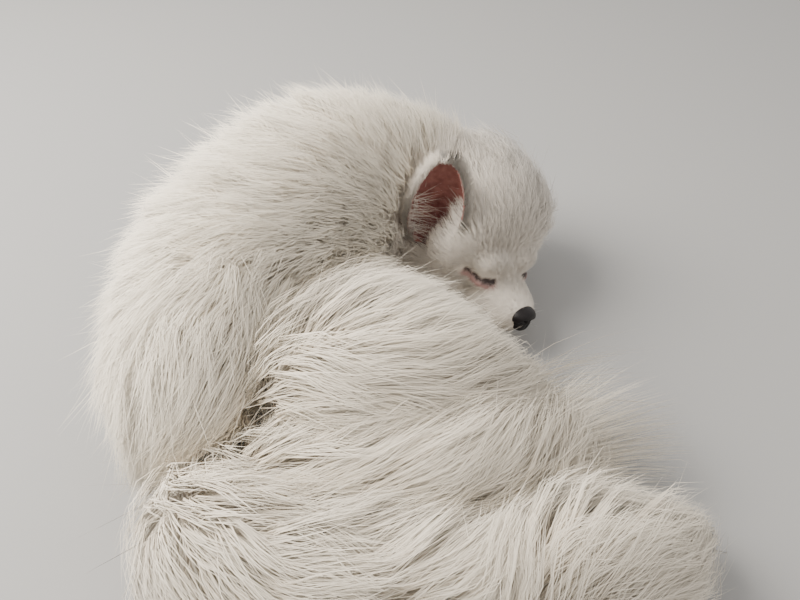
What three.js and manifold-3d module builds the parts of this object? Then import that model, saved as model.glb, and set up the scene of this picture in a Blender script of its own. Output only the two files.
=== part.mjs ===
// A white pomeranian asleep in a curl, life size, in millimetres, with +Z up and the floor at z = 0.
// The dog lies on its left side with its back to the far left; the head rests on its chin at the right,
// and the tail lies round the near side. The origin is on the floor, under the middle of the dog.
import * as THREE from "three";
import { mergeVertices } from "three/addons/utils/BufferGeometryUtils.js";
import Module from "manifold-3d";

const wasm = await Module();
wasm.setup();

// Driving dimensions
const CM = 10;
const GAP = 0.3; // clearance between touching pieces
const SHORT_EDGE = 0.02; // edges below this length are closed up
const FLOOR_REACH = 600; // half-side and height of the block above the floor

const COAT_COLOUR = 0xe9e4da;
const FACE_COLOUR = 0xded6ca;
const EAR_COLOUR = 0xd9bdb2;
const NOSE_COLOUR = 0x1d1a1b;
const EYE_COLOUR = 0x241a18;
const COAT_ROUGHNESS = 0.9;
const EAR_ROUGHNESS = 0.8;
const NOSE_ROUGHNESS = 0.35;
const EYE_ROUGHNESS = 0.3;

const HEAD_PLACE = new THREE.Vector3(43.4, 85.7, 39); // middle of the skull, between the ears and the eyes
const HEAD_YAW = -52.7; // degrees from +X: the nose points right and to the viewer
const HEAD_PITCH = 4; // degrees, nose down
const HEAD_ROLL = -19; // degrees, left cheek down

const EYE_SPREAD = 17.5; // each eye from the middle of the face
const EYE_RADIUS = 8;
const LID_THICKNESS = 1.8;
const LID_SLIT = 1.2; // height of the gap between the closed lids
const LID_LENGTH = 17;
const EAR_WIDTH = 38;
const EAR_DEPTH = 26;
const EAR_WALL = 3;
const EAR_HOLLOW = [11, 8, 3]; // how far the ear's hollow lies out from its middle, from root to tip
const NOSE_WIDTH = 16;

// The coat: from the outer forms, the depth of the locks over the dense undercoat
const TORSO_COAT = 21;
const LEG_COATS = { hindleg_right: 15, foreleg_right: 15, hindleg_left: 15, foreleg_left: 4 };
const TAIL_COAT = 17;
const LOCK_LENGTH = 80;
const LOCK_WIDTH = 37;
const LOCK_THICKNESS = 6;
const LOCK_SINK = 9; // depth of a lock's root under the undercoat's surface
const LOCK_FLOOR = 4.5; // the lowest that the middle of a lock lies over the floor
const ROW_STEP = 29; // from one row of roots to the next, along the lie
const ROOT_STEP = 35; // from one root to the next, across the lie
const ROOT_CLEAR = 7; // least distance from a root to the piece next to its own
const SEED = 61;

const degrees = THREE.MathUtils.degToRad;
const UP = new THREE.Vector3(0, 0, 1);

// A point given in centimetres, as millimetres.
const at = (x, y, z) => new THREE.Vector3(x * CM, y * CM, z * CM);

// A point given in millimetres, for the head's own frame.
const spot = (x, y, z) => new THREE.Vector3(x, y, z);

// A closed geometry as a solid, with its faces turned out.
function solidOf(geometry) {
  const bare = geometry.index ? geometry.toNonIndexed() : geometry.clone();
  const only = new THREE.BufferGeometry().setAttribute("position", bare.getAttribute("position"));
  const merged = mergeVertices(only, 1e-3);
  const triVerts = new Uint32Array(merged.index.array);
  const vertProperties = merged.attributes.position.array;
  const solid = new wasm.Manifold(new wasm.Mesh({ numProp: 3, vertProperties, triVerts }));
  if (solid.volume() > 0) {
    return solid;
  }
  return new wasm.Manifold(new wasm.Mesh({ numProp: 3, vertProperties, triVerts: triVerts.reverse() }));
}

// The triangles of a surface with edges shorter than SHORT_EDGE closed up
function withoutShortEdges(corners, triangles) {
  const target = Array.from({ length: corners.length / 3 }, (_, i) => i);
  const end = (i) => {
    while (target[i] !== i) {
      i = target[i];
    }
    return i;
  };
  const corner = (i) => new THREE.Vector3().fromArray(corners, i * 3);
  for (let i = 0; i < triangles.length; i++) {
    const next = i % 3 === 2 ? i - 2 : i + 1;
    const [a, b] = [end(triangles[i]), end(triangles[next])];
    if (a !== b && corner(a).distanceTo(corner(b)) < SHORT_EDGE) {
      target[Math.max(a, b)] = Math.min(a, b);
    }
  }
  const kept = new Map();
  for (let i = 0; i < triangles.length; i += 3) {
    const face = [0, 1, 2].map((k) => end(triangles[i + k]));
    if (new Set(face).size < 3) {
      continue;
    }
    const key = [...face].sort((a, b) => a - b).join();
    if (!kept.delete(key)) {
      kept.set(key, face);
    }
  }
  return [...kept.values()].flat();
}

// A solid's largest closed surface as a geometry.
function geometryOf(solid) {
  const pieces = solid.decompose().sort((a, b) => b.volume() - a.volume());
  const mesh = pieces[0].getMesh();
  const corners = new Float32Array(mesh.numVert * 3);
  for (let i = 0; i < mesh.numVert; i++) {
    corners.set(mesh.vertProperties.subarray(i * mesh.numProp, i * mesh.numProp + 3), i * 3);
  }
  return new THREE.BufferGeometry()
    .setAttribute("position", new THREE.BufferAttribute(corners, 3))
    .setIndex(new THREE.BufferAttribute(new Uint32Array(withoutShortEdges(corners, mesh.triVerts)), 1));
}

const join = (...solids) => wasm.Manifold.union(solids.flat());

// The value of a list of numbers at t from 0 to 1, smoothly between them.
function along(values, t) {
  const place = t * (values.length - 1);
  const i = Math.max(0, Math.min(Math.floor(place), values.length - 2));
  const value = (k) => values[Math.max(0, Math.min(values.length - 1, k))];
  const f = place - i;
  const [a, b, c, d] = [value(i - 1), value(i), value(i + 1), value(i + 2)];
  return b + 0.5 * f * (c - a + f * (2 * a - 5 * b + 4 * c - d + f * (3 * (b - c) + d - a)));
}

// A shape drawn out along a path, with half-widths and half-heights at even steps.
// full is 2 for an egg's round ends and more for a fuller tube.
// station gives its axis, its half-sizes and its own directions at t from 0 to 1.
function station({ path, width, height, up = UP, full = 2.4, grow = 0 }, t) {
  const curve = new THREE.CatmullRomCurve3(path);
  const heading = curve.getTangent(t).normalize();
  const side = new THREE.Vector3().crossVectors(heading, up).normalize();
  const top = new THREE.Vector3().crossVectors(side, heading).normalize();
  const centre = curve.getPoint(t).addScaledVector(heading, (2 * t - 1) * grow);
  const round = Math.pow(1 - Math.pow(Math.abs(2 * t - 1), full), 1 / full);
  const sizes = { width: along(width, t) + grow, height: along(height, t) + grow };
  return { centre, heading, side, top, round, ...sizes };
}

// The point on a shape's surface at t along it and at a turn about its axis: 0 at its side, 90 at its top.
function surface(shape, t, turn) {
  const { centre, side, top, round, width, height } = station(shape, t);
  centre.addScaledVector(side, width * round * Math.cos(degrees(turn)));
  return centre.addScaledVector(top, height * round * Math.sin(degrees(turn)));
}

function form(shape) {
  const sphere = new THREE.SphereGeometry(1, shape.sides ?? 14, shape.rings ?? 10);
  const place = sphere.getAttribute("position");
  const point = new THREE.Vector3();
  for (let i = 0; i < place.count; i++) {
    point.fromBufferAttribute(place, i);
    const t = THREE.MathUtils.clamp((1 - point.y) / 2, 0, 1);
    const turn = THREE.MathUtils.radToDeg(Math.atan2(point.z, point.x));
    point.copy(surface(shape, t, turn));
    place.setXYZ(i, point.x, point.y, point.z);
  }
  return solidOf(sphere);
}

// An ellipsoid of three half-sizes, turned by a quaternion.
function ball(centre, sizes, { grow = 0, turn = new THREE.Quaternion(), sides = 14, rings = 10 } = {}) {
  const scale = new THREE.Vector3(...sizes.map((size) => size + grow));
  const matrix = new THREE.Matrix4().compose(centre, turn, scale);
  return solidOf(new THREE.SphereGeometry(1, sides, rings).applyMatrix4(matrix));
}

// A box from its full sizes, placed by a matrix.
function block(sizes, matrix) {
  return solidOf(new THREE.BoxGeometry(...sizes).applyMatrix4(matrix));
}

// A matrix whose x runs along one direction and whose z is nearest to another.
function frameAt(origin, ahead, above) {
  const x = ahead.clone().normalize();
  const y = new THREE.Vector3().crossVectors(above, x).normalize();
  const z = new THREE.Vector3().crossVectors(x, y);
  return new THREE.Matrix4().makeBasis(x, y, z).setPosition(origin);
}

const dog = new THREE.Group();

function add(name, solid, colour, roughness, parent = dog) {
  const material = new THREE.MeshStandardMaterial({ color: colour, roughness, metalness: 0 });
  const mesh = new THREE.Mesh(geometryOf(solid), material);
  mesh.name = name;
  parent.add(mesh);
}

const aboveFloor = block(
  [FLOOR_REACH * 2, FLOOR_REACH * 2, FLOOR_REACH],
  new THREE.Matrix4().setPosition(0, 0, FLOOR_REACH / 2),
);

// Head, in its own frame: x to the nose, y to the dog's left, z up
const head = new THREE.Group();
head.position.copy(HEAD_PLACE);
head.rotation.set(degrees(HEAD_ROLL), degrees(HEAD_PITCH), degrees(HEAD_YAW), "ZYX");
head.updateMatrixWorld(true);
dog.add(head);

const inWorld = (solid) => solidOf(geometryOf(solid).applyMatrix4(head.matrixWorld));
const inHead = (solid) => solidOf(geometryOf(solid).applyMatrix4(head.matrixWorld.clone().invert()));
const aboveFloorInHead = inHead(aboveFloor);
const SIDES = { right: -1, left: 1 };

const MUZZLE = {
  sides: 12,
  path: [spot(14, 0, -8), spot(34, 0, -10), spot(52, 0, -12)],
  width: [24, 18, 10],
  height: [20, 14, 10],
};
const JAW = {
  sides: 12,
  rings: 8,
  path: [spot(-6, 0, -24), spot(22, 0, -24), spot(46, 0, -22)],
  width: [30, 18, 8],
  height: [15, 10, 6],
};

function skull(grow = 0) {
  const cheeks = Object.values(SIDES).map((s) =>
    ball(spot(-4, s * 24, -10), [32, 26, 28], { grow, sides: 12, rings: 8 }),
  );
  const brows = Object.values(SIDES).map((s) =>
    ball(spot(20, s * 12, 13), [13, 13, 9], { grow, sides: 10, rings: 6 }),
  );
  return join(
    ball(spot(-14, 0, 16), [44, 53, 42], { grow, sides: 18, rings: 12 }),
    ball(spot(8, 0, 4), [26, 28, 22], { grow, sides: 12, rings: 8 }),
    form({ ...MUZZLE, grow }),
    cheeks,
    brows,
  );
}

// An eye's centre, and the frame at the middle of its slit: x out of the face, y along the slit
function eyeFrame(s) {
  const outward = new THREE.Vector3(0.78, s * 0.6, 0.16).normalize();
  const lidMiddle = spot(30, s * EYE_SPREAD, 4);
  const centre = lidMiddle.clone().addScaledVector(outward, -EYE_RADIUS - LID_THICKNESS);
  return { centre, matrix: frameAt(lidMiddle, outward, new THREE.Vector3(s * -0.1, s * 0.35, 1)) };
}

function lidSlit(s) {
  const { matrix } = eyeFrame(s);
  const slit = new THREE.SphereGeometry(1, 12, 6).scale(EYE_RADIUS, LID_LENGTH / 2, LID_SLIT / 2);
  return solidOf(slit.applyMatrix4(matrix));
}

// The right ear stands up and the left one is laid back.
const EARS = {
  right: {
    path: [spot(-8, -38, 12), spot(-4, -42, 44), spot(-8, -44, 78)],
    opening: new THREE.Vector3(0.7, -0.7, 0.1),
  },
  left: {
    path: [spot(-10, 38, 14), spot(-18, 43, 38), spot(-27, 45, 57)],
    opening: new THREE.Vector3(0.62, 0.62, 0.48),
  },
};
const EAR_FORM = {
  width: [EAR_WIDTH * 0.4, EAR_WIDTH * 0.52, EAR_WIDTH * 0.27],
  height: [EAR_DEPTH * 0.5, EAR_DEPTH * 0.45, EAR_DEPTH * 0.2],
  full: 2.6,
};

function earOutside(side, grow = 0) {
  const { path, opening } = EARS[side];
  return form({ ...EAR_FORM, path, up: opening, grow });
}

function ear(side) {
  const { path, opening } = EARS[side];
  const inside = path.map((point, i) => point.clone().addScaledVector(opening, EAR_HOLLOW[i]));
  const width = EAR_FORM.width.map((w) => w - EAR_WALL);
  const cup = form({ ...EAR_FORM, path: inside, up: opening, width });
  return earOutside(side).subtract(cup);
}

function nose(grow = 0) {
  return join(
    ball(spot(53, 0, -8), [6, NOSE_WIDTH / 2, 5.5], { grow, sides: 12, rings: 7 }),
    ball(spot(52.5, 0, -11.5), [6, NOSE_WIDTH * 0.32, 6], { grow, sides: 10, rings: 6 }),
  );
}

const jaw = (grow = 0) => form({ ...JAW, grow });

// Body, whole, before it is parted
const SPINE = [
  at(7.0, 11.6, 6.4), at(1.2, 11.5, 7.0), at(-3.8, 9.5, 7.3), at(-7.0, 5.4, 7.0),
  at(-8.9, 0.7, 6.6), at(-9.2, -4.0, 6.1), at(-8.2, -8.4, 5.6),
];
const TORSO = {
  path: SPINE,
  width: [46, 60, 68, 69, 67, 63, 56],
  height: [52, 70, 76, 75, 70, 65, 57],
  full: 3.2,
  sides: 18,
  rings: 16,
};
const LEGS = {
  hindleg_right: {
    path: [at(-8.0, -5.6, 6.6), at(-3.0, -3.8, 6.8), at(2.4, -3.6, 5.8), at(7.4, -3.6, 3.6)],
    width: [50, 56, 44, 26],
    height: [42, 42, 36, 22],
  },
  foreleg_right: {
    path: [at(-4.4, 3.4, 6.4), at(-0.4, 0.2, 6.0), at(3.8, -1.4, 4.8), at(8.0, -1.8, 3.2)],
    width: [36, 34, 28, 16],
    height: [38, 34, 28, 18],
  },
  hindleg_left: {
    path: [at(-9.6, -8.0, 4.6), at(-2.0, -8.9, 4.3), at(4.6, -7.8, 3.4), at(9.4, -4.8, 2.2)],
    width: [40, 42, 36, 22],
    height: [46, 46, 39, 26],
  },
  foreleg_left: {
    path: [at(-2.0, 4.6, 2.6), at(1.6, 3.2, 2.2), at(4.6, 1.9, 1.9)],
    width: [24, 20, 15],
    height: [22, 19, 15],
  },
};
const TAIL = {
  path: [
    at(-9.8, -5.6, 5.4), at(-8.4, -10.6, 5.2), at(-3.0, -13.4, 4.6),
    at(3.4, -14.0, 3.9), at(9.2, -12.0, 3.5), at(14.4, -9.4, 2.8),
  ],
  width: [32, 40, 40, 39, 38, 24],
  height: [36, 42, 43, 44, 42, 28],
  full: 2.6,
  sides: 14,
  rings: 18,
};

// A paw with four toes, pointing along its heading
const PAWS = {
  forepaw_right: { place: at(6.0, 0.4, 0.7), heading: -12, length: 34 },
  forepaw_left: { place: at(4.6, 1.6, 0.6), heading: -8, length: 32 },
  hindpaw_right: { place: at(7.4, -7.0, 0.8), heading: 24, length: 36 },
  hindpaw_left: { place: at(7.0, -4.4, 0.7), heading: 10, length: 36 },
};

function pawPad({ place, heading, length }, grow = 0) {
  const turn = new THREE.Quaternion().setFromAxisAngle(UP, degrees(heading));
  const put = (x, y, z) => spot(x, y, z).applyQuaternion(turn).add(place);
  const sizes = [length * 0.46, length * 0.3, length * 0.28];
  const pad = ball(put(-4, 0, 2), sizes, { turn, grow, sides: 10, rings: 7 });
  return { turn, put, pad };
}

function paw(sizes) {
  const { turn, put, pad } = pawPad(sizes);
  const { length } = sizes;
  const toes = [-1.5, -0.5, 0.5, 1.5].map((k) => {
    const toe = put(length * (0.36 - 0.05 * Math.abs(k)), k * length * 0.16, -1);
    return ball(toe, [length * 0.2, length * 0.11, length * 0.2], { turn, sides: 6, rings: 5 });
  });
  return join(pad, toes);
}

// The room that a paw takes in what covers it
function pawRoom(sizes) {
  const { turn, put, pad } = pawPad(sizes, GAP);
  const { length } = sizes;
  const toes = [length * 0.36, length * 0.52, length * 0.32];
  return join(pad, ball(put(length * 0.3, 0, -1), toes, { turn, sides: 10, rings: 6 }));
}

// The torso is parted across the spine at these shares of its length.
const PARTS = { neck: [-0.1, 0.26], chest: [0.26, 0.52], loin: [0.52, 0.76], rump: [0.76, 1.1] };
const FAR = 400; // longer than the dog
// The share of a margin that a flat cut moves by, so that it stays off the next piece's own cut
const CUT_GROWTH = 0.8;

// Half of space behind or ahead of a place on the spine, with the gap left free
function beyond(t, sign, grow) {
  const curve = new THREE.CatmullRomCurve3(SPINE);
  const heading = curve.getTangent(THREE.MathUtils.clamp(t, 0, 1)).setZ(0).normalize();
  const middle = curve.getPoint(THREE.MathUtils.clamp(t, 0, 1));
  const centre = middle.addScaledVector(heading, sign * (FAR / 2 + GAP / 2 - grow * CUT_GROWTH));
  return block([FAR, FAR, FAR], frameAt(centre, heading, UP));
}

function torsoZone([from, to], grow) {
  const ahead = from < 0 ? null : beyond(from, 1, grow);
  const behind = to > 1 ? null : beyond(to, -1, grow);
  if (ahead && behind) {
    return ahead.intersect(behind);
  }
  return ahead ?? behind;
}

// The dense undercoat inside an outer form: lower by the coat's depth, and resting as low
function undercoat(outer, depth, grow = 0) {
  return {
    ...outer,
    path: outer.path.map((point) => point.clone().setZ(point.z - depth / 2)),
    height: outer.height.map((height) => height + depth / 2),
    grow: grow - depth,
  };
}

const TRUNK = undercoat(TORSO, TORSO_COAT);
const TAIL_CORE = undercoat(TAIL, TAIL_COAT);
const LEG_CORES = Object.fromEntries(
  Object.entries(LEGS).map(([name, leg]) => [name, undercoat(leg, LEG_COATS[name])]),
);
const grown = (shape, by) => form({ ...shape, grow: shape.grow + by });

// A number from 0 to 1 from a seeded series
let state = SEED;
function random() {
  state = (state * 1664525 + 1013904223) % 4294967296;
  return state / 4294967296;
}
const vary = (value, share) => value * (1 + share * (2 * random() - 1));

// A flat, tapered lock through four points: rings of four corners, and a point at the tip
const LOCK_WIDTHS = [0.6, 1, 0.78, 0];
const LOCK_THICKNESSES = [1, 1, 0.8, 0];
const LOCK_RISE = [-0.4, 0.35, 0.75, 1];

function lock({ points, outs, width }, grow) {
  const corners = [];
  points.forEach((point, i) => {
    const before = points[Math.max(i - 1, 0)];
    const after = points[Math.min(i + 1, points.length - 1)];
    const heading = after.clone().sub(before).normalize();
    const side = new THREE.Vector3().crossVectors(heading, outs[i]).normalize();
    const out = new THREE.Vector3().crossVectors(side, heading).normalize();
    const across = (width / 2) * LOCK_WIDTHS[i] + grow;
    const up = (LOCK_THICKNESS / 2) * LOCK_THICKNESSES[i] + grow;
    if (i === points.length - 1) {
      corners.push(point.clone().addScaledVector(heading, grow * 3));
      return;
    }
    corners.push(point.clone().addScaledVector(side, across), point.clone().addScaledVector(out, up));
    corners.push(point.clone().addScaledVector(side, -across), point.clone().addScaledVector(out, -up));
  });
  const faces = [0, 1, 2, 0, 2, 3];
  const last = corners.length - 1;
  for (let ring = 0; ring < last; ring += 4) {
    for (let k = 0; k < 4; k++) {
      const [a, b] = [ring + k, ring + ((k + 1) % 4)];
      if (ring + 4 < last) {
        faces.push(a, a + 4, b, b, a + 4, b + 4);
      } else {
        faces.push(a, last, b);
      }
    }
  }
  const positions = new Float32Array(corners.flatMap((corner) => corner.toArray()));
  return solidOf(
    new THREE.BufferGeometry()
      .setAttribute("position", new THREE.BufferAttribute(positions, 3))
      .setIndex(faces),
  );
}

// What the locks lie on: the undercoats, and the head as one rounded form
const inDog = (x, y, z) => spot(x, y, z).applyMatrix4(head.matrixWorld);
const HEAD_FORM = {
  path: [inDog(40, 0, -8), inDog(14, 0, 4), inDog(-12, 0, 8), inDog(-36, 0, 14), inDog(-58, 0, 16)],
  width: [20, 46, 54, 52, 46],
  height: [16, 40, 48, 44, 36],
  up: UP.clone().transformDirection(head.matrixWorld),
  grow: 0,
};
const SHAPES = { head: HEAD_FORM, trunk: TRUNK, tail: TAIL_CORE, ...LEG_CORES };
const STATION_COUNT = 31;
const STATION_REACH = 0.6; // how far a station reaches along its axis, as a share of its smaller half-size
const STATIONS = Object.entries(SHAPES).flatMap(([name, shape]) =>
  Array.from({ length: STATION_COUNT }, (_, i) => ({ name, ...station(shape, i / (STATION_COUNT - 1)) })),
);

// The piece of coat nearest to a point: its name, the way out of it, and the point's height over it
function nearest(point, names) {
  let best = null;
  for (const place of STATIONS) {
    if (names && !names.includes(place.name)) {
      continue;
    }
    const away = point.clone().sub(place.centre);
    const distance = Math.max(away.length(), 1e-3);
    const half = [place.width, place.height, STATION_REACH * Math.min(place.width, place.height)];
    const parts = [place.side, place.top, place.heading].map((axis) => away.dot(axis) / distance);
    const reach = place.round / Math.hypot(...parts.map((part, k) => part / half[k]));
    if (!best || distance - reach < best.gap) {
      best = { ...place, gap: distance - reach, out: away.divideScalar(distance) };
    }
  }
  return best;
}

// A point moved out or in until it lies at a height over the coat
function lay(point, lift) {
  const laid = point.clone();
  let out = UP;
  for (let i = 0; i < 4; i++) {
    const near = nearest(laid);
    out = near.out;
    laid.addScaledVector(out, lift - near.gap);
  }
  laid.z = Math.max(laid.z, LOCK_FLOOR);
  return { laid, out };
}

// The path of one lock: from its root it follows the lie and rises to the coat's full depth at its tip.
// lie is the share of its way that runs along the shape it grows from, and the rest runs downhill.
function lockPath(own, depth, root, { length, width, lie, rise }) {
  const points = [];
  const outs = [];
  let point = root;
  for (const share of LOCK_RISE) {
    const { laid, out } = lay(point, share < 0 ? -LOCK_SINK : share * depth * rise);
    points.push(laid);
    outs.push(out);
    const { heading } = nearest(laid, [own]);
    const downhill = out.clone().multiplyScalar(out.z).sub(UP);
    const way = heading.clone().multiplyScalar(lie).addScaledVector(downhill, 1 - lie);
    way.addScaledVector(out, -way.dot(out)).normalize();
    point = laid.clone().addScaledVector(way, length / (LOCK_RISE.length - 1));
  }
  return { points, outs, width };
}

// Rows of locks over a stretch of a shape, from one turn about it to another
function rowsOfLocks(own, depth, { from, to, start = -5, end = 185, lie = 0.75, rise = 1, scale = 1 }) {
  const shape = SHAPES[own];
  const others = Object.keys(SHAPES).filter((name) => name !== own);
  const lengthOfShape = new THREE.CatmullRomCurve3(shape.path).getLength();
  const rows = Math.max(1, Math.round(((to - from) * lengthOfShape) / (ROW_STEP * scale)));
  const paths = [];
  for (let row = 0; row < rows; row++) {
    const t = from + ((to - from) * (row + 0.5)) / rows;
    const { width, height, round } = station(shape, t);
    const around = ((degrees(end - start) * (width + height)) / 2) * round;
    const count = Math.max(1, Math.round(around / (ROOT_STEP * scale)));
    for (let i = 0; i < count; i++) {
      const turn = start + ((end - start) * (i + 0.5 + (row % 2 ? 0.25 : -0.25))) / count;
      const root = surface(shape, t, turn);
      const sizes = {
        length: vary(LOCK_LENGTH * scale, 0.12),
        width: vary(LOCK_WIDTH * scale, 0.1),
        lie: vary(lie, 0.08),
        rise: vary(rise, 0.08),
      };
      if (root.z > LOCK_FLOOR && nearest(root, others).gap > ROOT_CLEAR) {
        paths.push(lockPath(own, depth, root, sizes));
      }
    }
  }
  return paths;
}

// The back's ridge lies on the dog's far side, where the coat stands out from the curl.
function torsoLocks([from, to]) {
  return [
    ...rowsOfLocks("trunk", TORSO_COAT, { from, to, start: -8, end: 62, lie: 0.7, rise: 1.4, scale: 0.85 }),
    ...rowsOfLocks("trunk", TORSO_COAT, { from, to, start: 62, end: 185, lie: 0.8 }),
  ];
}

const CHEEK_ROWS = { from: 0.46, to: 0.72, start: -65, end: 45, lie: 1, rise: 0.4, scale: 0.75 };
const LOCKS = {
  head: rowsOfLocks("head", TORSO_COAT, CHEEK_ROWS),
  neck: torsoLocks([0.03, 0.26]),
  chest: torsoLocks([0.26, 0.52]),
  loin: torsoLocks([0.52, 0.76]),
  rump: torsoLocks([0.76, 0.96]),
  tail_base: rowsOfLocks("tail", TAIL_COAT, { from: 0.12, to: 0.5, lie: 0.85 }),
  tail_plume: rowsOfLocks("tail", TAIL_COAT, { from: 0.5, to: 0.82, lie: 0.85 }),
  hindleg_right: rowsOfLocks("hindleg_right", LEG_COATS.hindleg_right, { from: 0.05, to: 0.85, lie: 0.9 }),
  foreleg_right: rowsOfLocks("foreleg_right", LEG_COATS.foreleg_right, { from: 0.1, to: 0.8, lie: 0.9 }),
  hindleg_left: rowsOfLocks("hindleg_left", LEG_COATS.hindleg_left, { from: 0.05, to: 0.8, lie: 0.9 }),
  foreleg_left: [],
};

const tailMiddle = TAIL.path[3];
const tailAhead = TAIL.path[4].clone().sub(TAIL.path[2]).setZ(0).normalize();
function tailHalf(sign, grow) {
  const away = sign * (FAR / 2 + GAP / 2 - grow * CUT_GROWTH);
  const centre = tailMiddle.clone().addScaledVector(tailAhead, away);
  return block([FAR, FAR, FAR], frameAt(centre, tailAhead, UP));
}

// Each body node's undercoat, grown by a margin
const CORES = {
  neck: (grow) => grown(TRUNK, grow).intersect(torsoZone(PARTS.neck, grow)),
  chest: (grow) => grown(TRUNK, grow).intersect(torsoZone(PARTS.chest, grow)),
  loin: (grow) => grown(TRUNK, grow).intersect(torsoZone(PARTS.loin, grow)),
  rump: (grow) => grown(TRUNK, grow).intersect(torsoZone(PARTS.rump, grow)),
  tail_base: (grow) => grown(TAIL_CORE, grow).intersect(tailHalf(-1, grow)),
  tail_plume: (grow) => grown(TAIL_CORE, grow).intersect(tailHalf(1, grow)),
  hindleg_right: (grow) => grown(LEG_CORES.hindleg_right, grow),
  foreleg_right: (grow) => grown(LEG_CORES.foreleg_right, grow),
  hindleg_left: (grow) => grown(LEG_CORES.hindleg_left, grow),
  foreleg_left: (grow) => grown(LEG_CORES.foreleg_left, grow),
};

const skullSolid = skull().intersect(aboveFloorInHead);
const earsClear = join(earOutside("right", GAP), earOutside("left", GAP));
let taken = join(
  inWorld(join(skull(GAP), jaw(GAP), earsClear, nose(GAP))),
  LOCKS.head.map((path) => lock(path, GAP)),
);

for (const [name, sizes] of Object.entries(PAWS)) {
  add(name, paw(sizes).intersect(aboveFloor).subtract(taken), COAT_COLOUR, COAT_ROUGHNESS);
  taken = join(taken, pawRoom(sizes));
}

for (const [name, core] of Object.entries(CORES)) {
  const whole = (grow) => join(core(grow), LOCKS[name].map((path) => lock(path, grow)));
  add(name, whole(0).intersect(aboveFloor).subtract(taken), COAT_COLOUR, COAT_ROUGHNESS);
  taken = join(taken, whole(GAP));
}

// Face
let skullCut = skullSolid.subtract(join(nose(GAP), earsClear));
for (const [side, s] of Object.entries(SIDES)) {
  const { centre } = eyeFrame(s);
  const [eyeball, lids, socket] = [0, LID_THICKNESS, GAP].map((depth) =>
    ball(centre, [EYE_RADIUS, EYE_RADIUS, EYE_RADIUS], { grow: depth, sides: 12, rings: 8 }),
  );
  skullCut = join(skullCut, lids).subtract(join(socket, lidSlit(s)));
  add("eye_" + side, eyeball, EYE_COLOUR, EYE_ROUGHNESS, head);
}
const cheekLocks = LOCKS.head.map((path) => inHead(lock(path, 0)));
const facePieces = join(earsClear, nose(GAP), jaw(GAP));
skullCut = join(skullCut, join(cheekLocks).subtract(facePieces));
add("head", skullCut, FACE_COLOUR, COAT_ROUGHNESS, head);
const jawClear = join(skull(GAP), nose(GAP));
add("lower_jaw", jaw().intersect(aboveFloorInHead).subtract(jawClear), FACE_COLOUR, COAT_ROUGHNESS, head);
const nostrils = Object.values(SIDES).map((s) =>
  ball(spot(58, s * 3.6, -9.5), [4, 1.7, 2], { sides: 8, rings: 6 }),
);
add("nose", nose().subtract(join(nostrils)), NOSE_COLOUR, NOSE_ROUGHNESS, head);
for (const side of Object.keys(SIDES)) {
  add("ear_" + side, ear(side), EAR_COLOUR, EAR_ROUGHNESS, head);
}

// The origin goes under the middle of the dog.
const bounds = new THREE.Box3().setFromObject(dog, true);
const middle = bounds.getCenter(new THREE.Vector3());
dog.position.set(-middle.x, -middle.y, 0);

export default dog;
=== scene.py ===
import math

import bpy
import numpy as np
from mathutils import Matrix, Vector, noise
from mathutils.bvhtree import BVHTree
from mathutils.kdtree import KDTree


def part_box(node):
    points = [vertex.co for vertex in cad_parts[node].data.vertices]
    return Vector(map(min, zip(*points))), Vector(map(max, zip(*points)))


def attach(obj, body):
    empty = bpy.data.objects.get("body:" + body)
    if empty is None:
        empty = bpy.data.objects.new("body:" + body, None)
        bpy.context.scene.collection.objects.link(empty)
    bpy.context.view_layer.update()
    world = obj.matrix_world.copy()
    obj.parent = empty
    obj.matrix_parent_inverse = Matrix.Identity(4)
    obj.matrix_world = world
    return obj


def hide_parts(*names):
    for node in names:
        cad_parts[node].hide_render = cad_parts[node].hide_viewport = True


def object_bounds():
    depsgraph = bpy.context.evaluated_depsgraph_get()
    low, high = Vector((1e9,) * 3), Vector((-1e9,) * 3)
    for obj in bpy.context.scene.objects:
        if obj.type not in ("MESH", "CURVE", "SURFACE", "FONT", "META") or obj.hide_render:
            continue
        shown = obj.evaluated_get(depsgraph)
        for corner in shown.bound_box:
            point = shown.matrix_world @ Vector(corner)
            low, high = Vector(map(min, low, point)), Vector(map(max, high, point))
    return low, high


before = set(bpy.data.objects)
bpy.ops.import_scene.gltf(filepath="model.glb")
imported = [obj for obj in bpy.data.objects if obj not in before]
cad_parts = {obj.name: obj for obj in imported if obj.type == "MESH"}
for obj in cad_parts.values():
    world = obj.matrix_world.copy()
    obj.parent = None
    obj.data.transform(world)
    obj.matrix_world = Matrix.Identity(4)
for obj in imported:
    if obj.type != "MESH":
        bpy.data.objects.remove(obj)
cad_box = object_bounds()

# Room: a plain pale floor, a soft window light from the far left, and a dim room all round.
# The camera stands at the near side and looks down on the dog.
FLOOR_SIZE = 6.0
FLOOR_COLOUR = (0.36, 0.355, 0.35, 1)
FLOOR_ROUGHNESS = 0.9
CAMERA_PITCH = math.radians(42)
CAMERA_DISTANCE = 0.40
CAMERA_AIM_HEIGHT = 0.08
CAMERA_LENS = 36.0
CAMERA_SENSOR = 36.0
CAMERA_NEAREST = 0.01
LIGHTS_AIM = Vector((0, 0, 0.05))
ROOM_COLOUR = (0.90, 0.885, 0.86, 1)
ROOM_STRENGTH = 0.93

# Places on the dog were measured with its right eyeball here, and SHIFT brings them to where it lies now.
EYE_RIGHT_PLACE = Vector((0.04905, 0.0615, 0.0435))
eye_low, eye_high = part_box("eye_right")
SHIFT = (eye_low + eye_high) / 2 - EYE_RIGHT_PLACE
SHIFT.z = 0.0


def new_material(name, roughness):
    """A material, with its nodes and its shader."""
    material = bpy.data.materials.new(name)
    material.use_nodes = True
    shader = material.node_tree.nodes["Principled BSDF"]
    shader.inputs["Roughness"].default_value = roughness
    return material, material.node_tree, shader


def place_in_scene(name, data):
    thing = bpy.data.objects.new(name, data)
    bpy.context.scene.collection.objects.link(thing)
    return thing


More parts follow.
